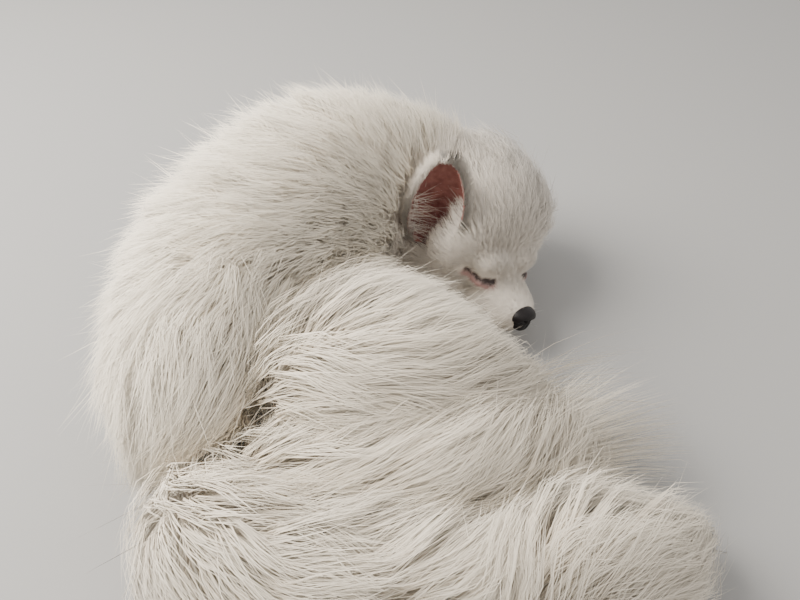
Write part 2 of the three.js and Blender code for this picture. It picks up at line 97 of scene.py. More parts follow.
def area_light(name, place, size, power, colour):
    light = place_in_scene(name, bpy.data.lights.new(name, "AREA"))
    light.data.size = size
    light.data.energy = power
    light.data.color = colour
    light.location = place
    light.rotation_euler = (LIGHTS_AIM - Vector(place)).to_track_quat("-Z", "Y").to_euler()


bpy.ops.mesh.primitive_plane_add(size=FLOOR_SIZE, location=(0, 0, 0))
floor = bpy.context.object
floor.name = "floor"
floor_material, _, shader = new_material("pale_floor", FLOOR_ROUGHNESS)
shader.inputs["Base Color"].default_value = FLOOR_COLOUR
floor.data.materials.append(floor_material)

camera = place_in_scene("camera", bpy.data.cameras.new("camera"))
camera.data.lens = CAMERA_LENS
camera.data.sensor_width = CAMERA_SENSOR
camera.data.clip_start = CAMERA_NEAREST
backward = Vector((0, -math.cos(CAMERA_PITCH), math.sin(CAMERA_PITCH))) * CAMERA_DISTANCE
camera.location = SHIFT + Vector((0, 0, CAMERA_AIM_HEIGHT)) + backward
camera.rotation_euler = (math.pi / 2 - CAMERA_PITCH, 0, 0)
bpy.context.scene.camera = camera

area_light("window", place=(-0.72, 0.12, 0.80), size=0.8, power=30, colour=(1.0, 0.955, 0.885))
area_light("room_fill", place=(0.9, -1.2, 1.5), size=1.8, power=6, colour=(1.0, 0.94, 0.86))
room = bpy.data.worlds.new("room")
room.use_nodes = True
room.node_tree.nodes["Background"].inputs["Color"].default_value = ROOM_COLOUR
room.node_tree.nodes["Background"].inputs["Strength"].default_value = ROOM_STRENGTH
bpy.context.scene.world = room

# Body: the dog under its coat, drawn as rounded forms along the spine, the tail and the legs.
# Every form is a row of rounds from one end to the other, with its half-sizes in centimetres.
# It lies inside the outline of the fur by the depth of the coat, and rests as low.
CM = 0.01
STATIONS = 49
AROUND = 32


def along(values, share):
    """The value of a list at a share of its length, smoothly between its entries."""
    values = np.asarray(values, float)
    place = share * (len(values) - 1)
    first = np.clip(np.floor(place).astype(int), 0, len(values) - 2)
    rest = place - first
    if values.ndim > 1:
        rest = rest[:, None]
    a, b, c, d = (values[np.clip(first + k, 0, len(values) - 1)] for k in (-1, 0, 1, 2))
    return b + 0.5 * rest * (c - a + rest * (2 * a - 5 * b + 4 * c - d + rest * (3 * (b - c) + d - a)))


def unit(vectors):
    return vectors / np.maximum(np.linalg.norm(vectors, axis=-1), 1e-9)[..., None]


class Form:
    """A rounded form along a path, with half-widths and half-heights at even steps, in metres.

    Its ends are round where "full" is 2, and blunter where it is more.
    """

    def __init__(self, path, width, height, full=2.4, up=(0, 0, 1), turn=None):
        share = np.linspace(0, 1, STATIONS)
        self.centre = along(path, share)
        self.heading = unit(np.gradient(self.centre, axis=0))
        self.side = unit(np.cross(self.heading, up))
        self.top = np.cross(self.side, self.heading)
        rounding = (1 - np.abs(2 * share - 1) ** full) ** (1 / full)
        self.width = along(width, share) * rounding
        self.height = along(height, share) * rounding
        if turn is not None:
            self.centre = np.array([turn @ Vector(place) for place in self.centre])
            for name in ("heading", "side", "top"):
                turned = [turn.to_3x3() @ Vector(way) for way in getattr(self, name)]
                setattr(self, name, np.array(turned))

    def surface(self):
        """Points in rings round the path, and the faces between them."""
        angles = np.linspace(0, 2 * math.pi, AROUND, endpoint=False)
        across = self.side[:, None] * (self.width[:, None] * np.cos(angles))[..., None]
        upward = self.top[:, None] * (self.height[:, None] * np.sin(angles))[..., None]
        rings = self.centre[:, None] + (across + upward)
        faces = []
        for i in range(STATIONS - 1):
            low = i * AROUND
            high = low + AROUND
            for k in range(AROUND):
                after = (k + 1) % AROUND
                faces.append((low + k, high + k, high + after, low + after))
        return rings.reshape(-1, 3), faces


def under_fur(path, width, height, coat_depth, full=2.4):
    """The body inside an outer form of the fur, by the depth of the coat. Sizes in centimetres."""
    path = np.array(path, float)
    path[:, 2] -= coat_depth / 2
    share = np.linspace(-1, 1, len(path))[:, None]
    path -= unit(np.gradient(path, axis=0)) * share * coat_depth
    width = np.array(width, float) - coat_depth
    height = np.array(height, float) - coat_depth / 2
    return Form(path * CM + np.array(SHIFT), width * CM, height * CM, full)


BODY_FORMS = {
    "torso": under_fur(
        [(7.0, 11.6, 6.4), (1.2, 11.5, 7.0), (-3.8, 9.5, 7.3), (-7.0, 5.4, 7.0),
         (-8.9, 0.7, 6.6), (-9.2, -4.0, 6.1), (-8.2, -8.4, 5.6)],
        width=[4.6, 6.0, 6.8, 6.9, 6.7, 6.3, 5.6],
        height=[5.2, 7.0, 7.6, 7.5, 7.0, 6.5, 5.7],
        coat_depth=2.3, full=3.2,
    ),
    "tail": under_fur(
        [(-9.8, -5.6, 5.4), (-8.4, -10.6, 5.2), (-3.0, -13.4, 4.6), (3.4, -14.0, 3.9),
         (9.2, -12.0, 3.5), (14.4, -9.4, 2.8)],
        width=[3.2, 4.0, 4.0, 3.9, 3.8, 2.4],
        height=[3.6, 4.2, 4.3, 4.4, 4.2, 2.8],
        coat_depth=1.9, full=2.6,
    ),
    "hindleg_right": under_fur(
        [(-8.0, -5.6, 6.6), (-3.0, -3.8, 6.8), (2.4, -3.6, 5.8), (7.4, -3.6, 3.6)],
        width=[5.0, 5.6, 4.4, 2.6], height=[4.2, 4.2, 3.6, 2.2], coat_depth=1.7,
    ),
    "foreleg_right": under_fur(
        [(-4.4, 3.4, 6.4), (-0.4, 0.2, 6.0), (3.8, -1.4, 4.8), (8.0, -1.8, 3.2)],
        width=[3.6, 3.4, 2.8, 1.6], height=[3.8, 3.4, 2.8, 1.8], coat_depth=1.7,
    ),
    "hindleg_left": under_fur(
        [(-9.6, -8.0, 4.6), (-2.0, -8.9, 4.3), (4.6, -7.8, 3.4), (9.4, -4.8, 2.2)],
        width=[4.0, 4.2, 3.6, 2.2], height=[4.6, 4.6, 3.9, 2.6], coat_depth=1.7,
    ),
    "foreleg_left": under_fur(
        [(-2.0, 4.6, 2.6), (1.6, 3.2, 2.2), (4.6, 1.9, 1.9)],
        width=[2.4, 2.0, 1.5], height=[2.2, 1.9, 1.5], coat_depth=0.5,
    ),
}

# Head: a round skull with full cheeks, a soft stop and a short fine muzzle that rests on the floor.
# Its own frame has x to the nose, y to the dog's left and z up, in centimetres.
HEAD_YAW = math.radians(-52.7)
HEAD_PITCH = math.radians(4)
HEAD_ROLL = math.radians(-19)
HEAD_PLACE = Vector((4.34, 8.57, 3.9)) * CM + SHIFT
SIDES = (-1, 1)

head_turn = Matrix.Rotation(HEAD_YAW, 4, "Z") @ Matrix.Rotation(HEAD_PITCH, 4, "Y")
head_turn = head_turn @ Matrix.Rotation(HEAD_ROLL, 4, "X")
HEAD = Matrix.Translation(HEAD_PLACE) @ head_turn


def head_form(path, width, height, full=2.0, turn=HEAD):
    return Form(np.array(path) * CM, np.array(width) * CM, np.array(height) * CM, full, turn=turn)


def egg(centre, sizes, turn=HEAD):
    """An egg shape with half-sizes along x, y and z of its own frame, in centimetres."""
    x, y, z = centre
    ends = [(x - sizes[0], y, z), (x + sizes[0], y, z)]
    return head_form(ends, [sizes[1]] * 2, [sizes[2]] * 2, turn=turn)


HEAD_FORMS = [
    egg((-1.5, 0, 1.4), (4.0, 4.8, 3.8)),
    egg((0.7, 0, 0.35), (2.5, 2.6, 2.05)),
    head_form([(1.4, 0, -0.8), (3.4, 0, -1.0), (5.2, 0, -1.2)], [2.3, 1.95, 1.55], [1.9, 1.5, 1.2], 2.6),
    head_form([(-0.6, 0, -2.4), (2.2, 0, -2.4), (4.5, 0, -2.1)], [2.9, 1.7, 0.8], [1.4, 0.9, 0.6], 2.4),
]
for side in SIDES:
    cheek = egg((-0.7, side * 2.1, -1.0), (2.7, 2.2, 2.4))
    brow_ridge = egg((2.0, side * 1.2, 1.3), (1.2, 1.2, 0.85))
    lids = egg((2.24, side * 1.29, 0.28), (0.95, 0.95, 0.9))
    lip_path = [(2.2, side * 1.2, -1.5), (3.6, side * 0.95, -1.55), (4.9, side * 0.45, -1.5)]
    HEAD_FORMS += [cheek, brow_ridge, lids, head_form(lip_path, [0.6, 0.6, 0.5], [0.7, 0.65, 0.5])]

# Paws: four small flat feet with four short toes each, tucked under the chin and the tail.
# Each has its place, its heading in degrees and its length, and its forms are shares of the length.
PAWS = {
    "forepaw_right": ((6.0, 0.4, 0.7), -12, 3.4),
    "forepaw_left": ((4.6, 1.6, 0.6), -8, 3.2),
    "hindpaw_right": ((7.4, -7.0, 0.8), 24, 3.6),
    "hindpaw_left": ((7.0, -4.4, 0.7), 10, 3.6),
}
TOES = (-1.5, -0.5, 0.5, 1.5)
TOE_SPACING = 0.155
TOE_DRAWN_BACK = 0.05


def paw_frame(place, heading):
    turn = Matrix.Rotation(math.radians(heading), 4, "Z")
    return Matrix.Translation(Vector(place) * CM + SHIFT) @ turn


def paw_forms(place, heading, length):
    """A foot and its toes, of which the middle ones reach furthest."""
    turn = paw_frame(place, heading)
    forms = [egg((-0.4, 0, 0.1), (length * 0.44, length * 0.27, length * 0.25), turn)]
    for toe in TOES:
        reach = length * (0.36 - TOE_DRAWN_BACK * abs(toe))
        centre = (reach, toe * length * TOE_SPACING, -0.1)
        forms.append(egg(centre, (length * 0.19, length * 0.1, length * 0.17), turn))
    return forms


# Skin: one closed surface over body, head and paws, smooth where the forms meet.
# The belly and cheek are pressed flat where they rest on the floor.
SKIN_VOXEL = 0.0017
SKIN_FLOOR = 0.0006
FIRST_SMOOTHING = 2
BODY_SMOOTHING = 34
FACE_BACK = -1.5
FACE_BLEND = 2.0
FACE_HALF_WIDTH = 4.5
FACE_HALF_HEIGHT = 5


def merged(forms):
    """All points of some forms, and all their faces."""
    points = []
    faces = []
    start = 0
    for form in forms:
        form_points, form_faces = form.surface()
        points.append(form_points)
        faces += [tuple(start + corner for corner in face) for face in form_faces]
        start += len(form_points)
    return np.vstack(points), faces


def mesh_piece(name, points, faces):
    mesh = bpy.data.meshes.new(name)
    mesh.from_pydata(points.tolist(), [], faces)
    mesh.update()
    return place_in_scene(name, mesh)


def close_surface(thing, voxel):
    """Make one closed surface of small even faces out of all the forms in a piece."""
    remesh = thing.modifiers.new("remesh", "REMESH")
    remesh.mode = "VOXEL"
    remesh.voxel_size = voxel
    depsgraph = bpy.context.evaluated_depsgraph_get()
    made = bpy.data.meshes.new_from_object(thing.evaluated_get(depsgraph))
    thing.modifiers.clear()
    thing.data = made


def read(items, name, width, kind=float):
    """One property of all items of a mesh, a row for each."""
    values = np.empty(len(items) * width, kind)
    items.foreach_get(name, values)
    return values.reshape(-1, width)


def smoothed(values, pairs, rounds):
    """Each value moved halfway to the mean of its neighbours, a number of rounds."""
    values = values.copy()
    first, second = pairs.T
    count = np.maximum(np.bincount(pairs.ravel(), minlength=len(values)), 1).astype(float)
    for _ in range(rounds):
        total = np.empty_like(values)
        for axis in range(values.shape[1]):
            from_second = np.bincount(first, values[second, axis], len(values))
            from_first = np.bincount(second, values[first, axis], len(values))
            total[:, axis] = from_second + from_first
        values += (total / count[:, None] - values) * 0.5
    return values


HEAD_MATRIX = np.array(HEAD)
HEAD_INVERSE = np.array(HEAD.inverted())


def in_head(place):
    """Points in the head's own frame, in centimetres."""
    return (place @ HEAD_INVERSE[:3, :3].T + HEAD_INVERSE[:3, 3]) / CM


def from_head(place):
    """Points of the head's own frame, back among those of the dog."""
    return place * CM @ HEAD_MATRIX[:3, :3].T + HEAD_MATRIX[:3, 3]


def rising(values, start, over):
    """A share that is 0 up to a start and 1 from some way after it."""
    return np.clip((values - start) / over, 0, 1)


def falling(values, end, over):
    """A share that is 0 from an end on and 1 up to some way before it."""
    return np.clip((end - values) / over, 0, 1)


skin_forms = list(BODY_FORMS.values()) + HEAD_FORMS
for paw in PAWS.values():
    skin_forms += paw_forms(*paw)
skin = mesh_piece("skin", *merged(skin_forms))
close_surface(skin, SKIN_VOXEL)
skin_edges = read(skin.data.edges, "vertices", 2, int)
rough_points = read(skin.data.vertices, "co", 3)
local = in_head(rough_points)
on_face = rising(local[:, 0], FACE_BACK, FACE_BLEND)
on_face = on_face * (np.abs(local[:, 1]) < FACE_HALF_WIDTH) * (np.abs(local[:, 2]) < FACE_HALF_HEIGHT)
rough_points = smoothed(rough_points, skin_edges, FIRST_SMOOTHING)
smooth_points = smoothed(rough_points, skin_edges, BODY_SMOOTHING)
skin_points = rough_points * on_face[:, None] + smooth_points * (1 - on_face[:, None])

# Face: the skin sinks into a curved slit where the closed lids meet, into the line of the mouth
# and into the hollow before the right ear. The lower lid stands out a little under its slit.
LID_LENGTH = 1.65
EYE_PLACE = (2.6, 2.05, 0.65)
EYE_SLANT = (0.38, 0.88, -0.27)
EYE_SAG = 0.16
EYE_CORNERS_BACK = 0.15
EYE_LINE_POINTS = 9
LOWER_LID = np.array([0.02, 0, -0.24])
MOUTH_LINE = [(5.0, 0, -1.9), (4.6, 0.75, -2.05), (3.6, 1.45, -2.1), (2.4, 2.0, -1.95), (1.8, 2.3, -1.7)]
LIP_CLEFT = [(5.6, 0, -1.3), (5.3, 0, -1.8)]
EAR_HOLLOW_LINE = [
    (-0.9, -4.6, 1.4), (-0.6, -4.6, 2.9), (-0.4, -4.1, 4.2),
    (-1.0, -4.3, 4.4), (-1.2, -4.7, 3.2), (-1.4, -4.9, 2.0),
]
EAR_HOLLOW_DEPTH = 1.5
FACE_MIDDLE = np.array([-0.5, 0.0, 0.6])
LEAST_SINK = 0.004


def near_line(place, line, most, width):
    """A value that is the most on a line of points, and fades away from it over a width."""
    line = np.asarray(line, float)
    best = np.full(len(place), np.inf)
    for a, b in zip(line[:-1], line[1:]):
        run = b - a
        share = np.clip(((place - a) @ run) / (run @ run), 0, 1)
        best = np.minimum(best, np.linalg.norm(place - (a + share[:, None] * run), axis=1))
    return most * np.exp(-((best / width) ** 2))


def eye_line(side):
    """The slit between the closed lids, from its outer corner to its inner one."""
    middle = np.array([EYE_PLACE[0], side * EYE_PLACE[1], EYE_PLACE[2]])
    slant = np.array([EYE_SLANT[0], -side * EYE_SLANT[1], EYE_SLANT[2]])
    line = []
    for share in np.linspace(-0.5, 0.5, EYE_LINE_POINTS):
        hang = EYE_SAG * (1 - (2 * share) ** 2)
        back = EYE_CORNERS_BACK * (2 * share) ** 2
        line.append(middle + slant * share * LID_LENGTH - np.array([back, 0, hang]))
    return np.array(line)


def on_surface(line):
    """A line near the skin, moved onto it."""
    found = []
    for place in line:
        near = np.argsort(((local - place) ** 2).sum(axis=1))[:4]
        found.append(local[near].mean(axis=0))
    return np.array(found)


local = in_head(skin_points)
slits = {side: on_surface(eye_line(side)) for side in SIDES}
mouth_lines = {side: [(x, y * side, z) for x, y, z in MOUTH_LINE] for side in SIDES}
sink = np.zeros(len(local))
for side in SIDES:
    sink += near_line(local, slits[side], most=0.13, width=0.12)
    sink += near_line(local, mouth_lines[side], most=0.16, width=0.12)
    sink -= near_line(local, slits[side] + LOWER_LID, most=0.07, width=0.16)
sink += near_line(local, LIP_CLEFT, most=0.1, width=0.09)
ear_hollow = near_line(local, EAR_HOLLOW_LINE, most=1.0, width=1.25)
sink += EAR_HOLLOW_DEPTH * ear_hollow
local += unit(FACE_MIDDLE - local) * sink[:, None]
touched = np.abs(sink) > LEAST_SINK
skin_points[touched] = from_head(local)[touched]
skin_points[:, 2] = np.maximum(skin_points[:, 2], SKIN_FLOOR)
skin.data.vertices.foreach_set("co", skin_points.ravel())
skin.data.update()
skin.data.shade_smooth()

# Colour of the skin: pale like the hair on it, so that no gap shows, and dark red in the ear's hollow,
# partly the skin's own colour and partly painted shade.
# The lower lids are pink, and the rims of the lids and lips are nearly black.
# The face hair's colour is darkened as painted shade on the face; the skin everywhere takes the same colour.
FACE_HAIR_PAINTED_SHADE = (0.80, 0.72, 0.62)
EYELID_PINK = (0.45, 0.27, 0.25)
EAR_HOLLOW_SKIN_AND_SHADE = (0.13, 0.03, 0.026)
RIM_DARK = (0.045, 0.03, 0.028)
PINK_UNDER_SLIT = np.array([0, 0, -0.27])
SKIN_ROUGHNESS = 0.7
FLESH = [
    "neck", "chest", "loin", "rump", "tail_base", "tail_plume", "head", "lower_jaw",
    "hindleg_right", "foreleg_right", "hindleg_left", "foreleg_left", *PAWS,
]


def node(tree, kind, **inputs):
    made = tree.nodes.new(kind)
    for name, value in inputs.items():
        made.inputs[name].default_value = value
    return made


def texture(tree, kind, **inputs):
    """A pattern that stays at its place on the piece."""
    place = tree.nodes.new("ShaderNodeTexCoord")
    pattern = node(tree, kind, **inputs)
    tree.links.new(place.outputs["Object"], pattern.inputs["Vector"])
    return pattern


def mixed(tree, share, first, second):
    """A colour between two others, each a plain colour or the output of a node."""
    blend = tree.nodes.new("ShaderNodeMix")
    blend.data_type = "RGBA"
    tree.links.new(share, blend.inputs["Factor"])
    for name, colour in (("A", first), ("B", second)):
        if isinstance(colour, tuple):
            blend.inputs[name].default_value = (*colour, 1)
        else:
            tree.links.new(colour, blend.inputs[name])
    return blend.outputs["Result"]


def mark(tree, name):
    """A value that is written on the points of the piece."""
    attribute = tree.nodes.new("ShaderNodeAttribute")
    attribute.attribute_name = name
    return attribute.outputs["Fac"]


def write_mark(mesh, name, values):
    attribute = mesh.attributes.new(name, "FLOAT", "POINT")
    attribute.data.foreach_set("value", values.astype(np.float32))


def new_group(name, inputs, outputs):
    """An empty group of nodes with named inputs and outputs of some kinds, and its two ends."""
    tree = bpy.data.node_groups.new(name, "ShaderNodeTree")
    for way, sockets in (("INPUT", inputs), ("OUTPUT", outputs)):
        for socket, kind in sockets.items():
            tree.interface.new_socket(socket, in_out=way, socket_type="NodeSocket" + kind)
    return tree, tree.nodes.new("NodeGroupInput"), tree.nodes.new("NodeGroupOutput")


def place_group(tree, group, **inputs):
    placed = tree.nodes.new("ShaderNodeGroup")
    placed.node_tree = group
    for name, value in inputs.items():
        placed.inputs[name].default_value = value
    return placed


def mottle_group():
    """Cloudy grain between two colours, which is also a height."""
    inputs = {"Dark": "Color", "Pale": "Color", "Scale": "Float", "Detail": "Float"}
    tree, start, end = new_group("mottle", inputs, {"Color": "Color", "Height": "Float"})
    cloud = texture(tree, "ShaderNodeTexNoise")
    tree.links.new(start.outputs["Scale"], cloud.inputs["Scale"])
    tree.links.new(start.outputs["Detail"], cloud.inputs["Detail"])
    colour = mixed(tree, cloud.outputs["Fac"], start.outputs["Dark"], start.outputs["Pale"])
    tree.links.new(colour, end.inputs["Color"])
    tree.links.new(cloud.outputs["Fac"], end.inputs["Height"])
    return tree


def raise_grain(tree, shader, height, strength, depth):
    """Fine relief on a surface, from a height."""
    bump = node(tree, "ShaderNodeBump", Strength=strength, Distance=depth)
    tree.links.new(height, bump.inputs["Height"])
    tree.links.new(bump.outputs["Normal"], shader.inputs["Normal"])


mottle = mottle_group()
skin_material, tree, shader = new_material("skin", SKIN_ROUGHNESS)
# The skin's base colour is the face hair's, with its painted shade.
colour = FACE_HAIR_PAINTED_SHADE
for name, tint in (("pink", EYELID_PINK), ("hollow", EAR_HOLLOW_SKIN_AND_SHADE), ("rim", RIM_DARK)):
    colour = mixed(tree, mark(tree, name), colour, tint)
tree.links.new(colour, shader.inputs["Base Color"])
grain = place_group(tree, mottle, Scale=900.0, Detail=3.0)
raise_grain(tree, shader, grain.outputs["Height"], strength=0.25, depth=0.0005)

local = in_head(skin_points)
rim = np.zeros(len(local))
pink = np.zeros(len(local))
for side in SIDES:
    rim = np.maximum(rim, near_line(local, slits[side], most=2.0, width=0.115))
    rim = np.maximum(rim, near_line(local, slits[side][-3:], most=2.6, width=0.17))
    rim = np.maximum(rim, near_line(local, mouth_lines[side], most=0.9, width=0.1))
    pink = np.maximum(pink, near_line(local, slits[side] + PINK_UNDER_SLIT, most=1.3, width=0.27))
write_mark(skin.data, "rim", np.clip(rim, 0, 1))
write_mark(skin.data, "pink", np.clip(pink, 0, 1))
# The hollow's dark red is partly skin colour and partly painted shade deep in the hollow.
write_mark(skin.data, "hollow", np.clip(3.0 * ear_hollow - 0.9, 0, 1))
skin.data.materials.clear()
skin.data.materials.append(skin_material)
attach(skin, "root")
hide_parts(*FLESH)

# Growth of the coat: each part of the body has its own kind of hair, and the kinds meet in soft edges.
# The trunk's hair falls over the legs and the tail. Little of it grows where the dog rests on the floor.
SKULL_MIDDLE = (-0.6, 0, 0.4)
SKULL_REACH = (6.6, 5.6, 5.2)
PAW_EDGE = 0.006
EDGE_SHARPNESS = 8
EDGE_SMOOTHING = 8
OVERLAP = 1.7

skin_normals = read(skin.data.vertex_normals, "vector", 3)
centimetres = (skin_points - np.array(SHIFT)) / CM
head_place = in_head(skin_points)


def egg_distance(place, centre, sizes):
    """A distance from a centre that is 1 all over an egg shape of these half-sizes."""
    return np.linalg.norm((place - np.array(centre)) / np.array(sizes), axis=1)


def form_distance(form):
    """The skin's distance to a form, as a share of the form's own size, less 1."""
    best = np.full(len(skin_points), np.inf)
    for k in range(2, STATIONS - 2, 2):
        away = skin_points - form.centre[k]
        parts = [away @ form.side[k] / form.width[k], away @ form.top[k] / form.height[k]]
        parts.append(away @ form.heading[k] / min(form.width[k], form.height[k]))
        best = np.minimum(best, sum(part**2 for part in parts))
    return np.sqrt(best) - 1


def share_of(own, others):
    """How far the skin belongs to one part of the body, from 0 to 1, with a soft edge."""
    share = np.clip(0.5 + (np.minimum(*others) - own) * EDGE_SHARPNESS, 0, 1)
    return np.clip(OVERLAP * smoothed(share[:, None], skin_edges, EDGE_SMOOTHING)[:, 0], 0, 1)


near_face = falling(egg_distance(head_place, SKULL_MIDDLE, SKULL_REACH), 1.18, 0.2)
on_paw = np.zeros(len(skin_points))
for place, _, length in PAWS.values():
    distance = np.linalg.norm(skin_points - np.array(Vector(place) * CM + SHIFT), axis=1)
    on_paw = np.maximum(on_paw, falling(distance, 0.6 * length * CM + PAW_EDGE, PAW_EDGE))
trunk_distance = form_distance(BODY_FORMS["torso"])
tail_distance = form_distance(BODY_FORMS["tail"])
legs_distance = np.min([form_distance(form) for name, form in BODY_FORMS.items() if "leg" in name], axis=0)
is_trunk = share_of(trunk_distance, (legs_distance, tail_distance))
is_leg = share_of(legs_distance, (trunk_distance, tail_distance))
is_tail = share_of(tail_distance, (trunk_distance, legs_distance))
off_floor = np.clip((skin_points[:, 2] - 0.004) / 0.006, 0.03, 1)
off_floor = off_floor * np.clip(skin_normals[:, 2] + 1.05, 0.05, 1)
off_head = np.clip(1 - near_face * 1.1, 0, 1)

# The trunk's coat: thick and plush, of warm white hair that stands out along the ridge of the back.
# Its lie is given at listed places: where, which way the tips point, how long the hair is, and the share of
# its length that it stands out, in centimetres. Between these places the lie runs smoothly.
TRUNK_LIE = [
    # the back's ridge, where the hair stands out from the curl
    ((5.5, 13.0, 10.5), (0.2, 0.8, 0.6), 2.6, 0.80),
    ((2.5, 13.5, 12.0), (0.0, 0.85, 0.5), 2.7, 0.76),
    ((-3.0, 13.5, 12.5), (-0.25, 0.9, 0.3), 2.5, 0.66),
    ((-8.0, 10.5, 12.5), (-0.5, 0.8, 0.25), 2.5, 0.64),
    ((-11.5, 5.5, 12.0), (-0.8, 0.5, 0.2), 2.7, 0.66),
    ((-13.0, 0.0, 10.5), (-0.9, 0.1, 0.1), 3.0, 0.68),
    ((-14.0, -5.0, 8.5), (-0.85, -0.4, 0.0), 3.6, 0.70),
    ((-13.0, -9.5, 6.5), (-0.5, -0.8, -0.2), 3.8, 0.60),
    # the far side, down to the floor
    ((4.0, 17.0, 4.0), (0.1, 0.7, -0.6), 3.2, 0.50),
    ((-5.0, 15.5, 4.0), (-0.4, 0.6, -0.6), 3.2, 0.50),
    ((-12.5, 9.5, 4.0), (-0.6, 0.2, -0.7), 3.2, 0.50),
    ((-15.0, -1.0, 4.0), (-0.5, -0.4, -0.7), 3.2, 0.50),
    # from behind the ear over the shoulder, away from the head and round with the curl
    ((3.5, 9.0, 11.5), (-0.3, 0.7, 0.6), 2.9, 0.58),
    ((0.0, 9.0, 12.8), (-0.6, 0.5, 0.5), 3.2, 0.55),
    ((0.0, 6.6, 9.0), (-0.8, 0.0, 0.4), 3.6, 0.42),
    ((-2.5, 6.5, 12.0), (-0.9, -0.1, 0.2), 3.8, 0.50),
    ((-2.6, 4.5, 9.9), (-0.8, -0.4, 0.2), 4.4, 0.48),
    ((-4.7, 2.0, 12.2), (-0.78, -0.55, 0.0), 4.4, 0.50),
    ((-7.5, 3.0, 13.6), (-0.8, -0.3, 0.1), 3.8, 0.68),
    ((-2.5, 1.1, 9.1), (-0.6, -0.75, 0.2), 4.6, 0.45),
    ((-7.1, -2.5, 12.1), (-0.5, -0.75, -0.4), 4.4, 0.50),
    ((-9.2, -3.0, 11.9), (-0.32, -0.89, -0.32), 4.4, 0.50),
    ((-10.4, -5.1, 10.3), (0.0, -0.94, -0.34), 4.4, 0.48),
    ((-7.4, -5.1, 10.2), (-0.3, -0.9, -0.26), 4.4, 0.45),
]
TRUNK_PIECES = {
    "ruff": (4.0, 13.0, 9.0),
    "shoulder": (-3.0, 7.0, 12.0),
    "back": (-11.0, 7.0, 9.0),
    "loin": (-11.5, -1.0, 10.0),
    "rump": (-12.0, -8.5, 6.0),
}
# The hair is a warmer, darker cream towards its root: partly its own tone, partly painted shade deep in the
# coat.
HAIR_TIP = (0.985, 0.895, 0.745)
HAIR_ROOT = (0.94, 0.80, 0.62)
HAIR_ROUGHNESS = 0.8
HAIR_SHINE = 0.2
HAIR_SHEEN = 0.2
LIE_NEAREST = 1.2
LIE_FALL_OFF = 2.2
LIE_SMOOTHING = 6


def laid_flat(ways):
    """Directions turned into the skin's surface."""
    return unit(ways - skin_normals * (ways * skin_normals).sum(axis=1)[:, None])


class Lie:
    """The lie of one kind of hair over the whole skin: its way, length and share of standing out."""

    def __init__(self, values):
        values = np.column_stack([laid_flat(values[:, :3]), values[:, 3:]])
        values = smoothed(values, skin_edges, LIE_SMOOTHING)
        self.way = laid_flat(values[:, :3])
        self.length = values[:, 3] * CM
        self.stand = values[:, 4]


def between_places(places):
    """The lie all over the skin, from the places where it is set."""
    total = np.zeros((len(centimetres), 5))
    weight_sum = np.zeros(len(centimetres))
    for where, way, length, stand in places:
        distance = ((centimetres - np.array(where)) ** 2).sum(axis=1)
        weight = 1 / (distance + LIE_NEAREST) ** LIE_FALL_OFF
        total += weight[:, None] * np.array([*way, length, stand])
        weight_sum += weight
    return total / weight_sum[:, None]


skin_faces = [tuple(polygon.vertices) for polygon in skin.data.polygons]
skin_tree = BVHTree.FromPolygons([Vector(place) for place in skin_points], skin_faces)
face_corners = np.array([face[:3] for face in skin_faces])
corner_a, corner_b, corner_c = (skin_points[face_corners[:, k]] for k in range(3))
face_area = np.linalg.norm(np.cross(corner_b - corner_a, corner_c - corner_a), axis=1)


def spread(count, weight, seed):
    """Random places on the skin, denser where the weight of its points is higher."""
    random = np.random.default_rng(seed)
    chance = face_area * weight[face_corners].mean(axis=1)
    chosen = random.choice(len(chance), size=count, p=chance / chance.sum())
    shares = random.dirichlet([1, 1, 1], size=count)
    corners = face_corners[chosen]
    return sum(shares[:, k : k + 1] * skin_points[corners[:, k]] for k in range(3)), corners[:, 0]


PATH_STEPS = 6
ROOT_DEPTH = 0.001
MOST_STAND = 0.95
STAND_CURVE = 0.85
LEAST_FORWARD = 0.2
FOLLOW_SKIN = 0.5
FOLLOW_LIE = 0.45


def march(lie, roots, starts, twist, length_scale, stand_scale):
    """Paths of hairs from their roots: they follow the lie of the skin and rise from it."""
    paths = np.empty((len(roots), PATH_STEPS + 1, 3))
    outs = np.empty_like(paths)
    for i, (root, start) in enumerate(zip(roots, starts)):
        length = lie.length[start] * length_scale[i]
        height = length * min(lie.stand[start] * stand_scale[i], MOST_STAND)
        foot = Vector(root)
        normal = Vector(skin_normals[start])
        direction = Matrix.Rotation(twist[i], 3, normal) @ Vector(lie.way[start])
        paths[i, 0] = foot - normal * ROOT_DEPTH
        outs[i, 0] = normal
        step = length / PATH_STEPS
        last = 0.0
        for k in range(1, PATH_STEPS + 1):
            lift = height * math.sin(math.pi / 2 * k / PATH_STEPS) ** STAND_CURVE
            forward = math.sqrt(max(step * step - (lift - last) ** 2, (LEAST_FORWARD * step) ** 2))
            last = lift
            foot, _, face, _ = skin_tree.find_nearest(foot + direction * forward)
            vertex = skin_faces[face][0]
            normal = normal.lerp(Vector(skin_normals[vertex]), FOLLOW_SKIN).normalized()
            wanted = Matrix.Rotation(twist[i], 3, normal) @ Vector(lie.way[vertex])
            direction = direction.lerp(wanted, FOLLOW_LIE)
            direction = (direction - normal * direction.dot(normal)).normalized()
            paths[i, k] = foot + normal * lift
            outs[i, k] = normal
    return paths, outs


def nearest_of(roots, others):
    tree = KDTree(len(others))
    for i, place in enumerate(others):
        tree.insert(place, i)
    tree.balance()
    return np.array([tree.find(place)[1] for place in roots])


BOX_LOW = np.array(cad_box[0])
BOX_HIGH = np.array(cad_box[1])
BOX_MARGIN = 0.006
BOX_EASE = 0.012
HAIR_FLOOR = 0.0012
ROOT_FLOOR = 0.0008


def too_far(over):
    """How much of a reach over the edge is taken back: little of a short one, most of a long one."""
    return np.where(over > 0, over - BOX_EASE * np.tanh(np.maximum(over, 0) / BOX_EASE), 0)


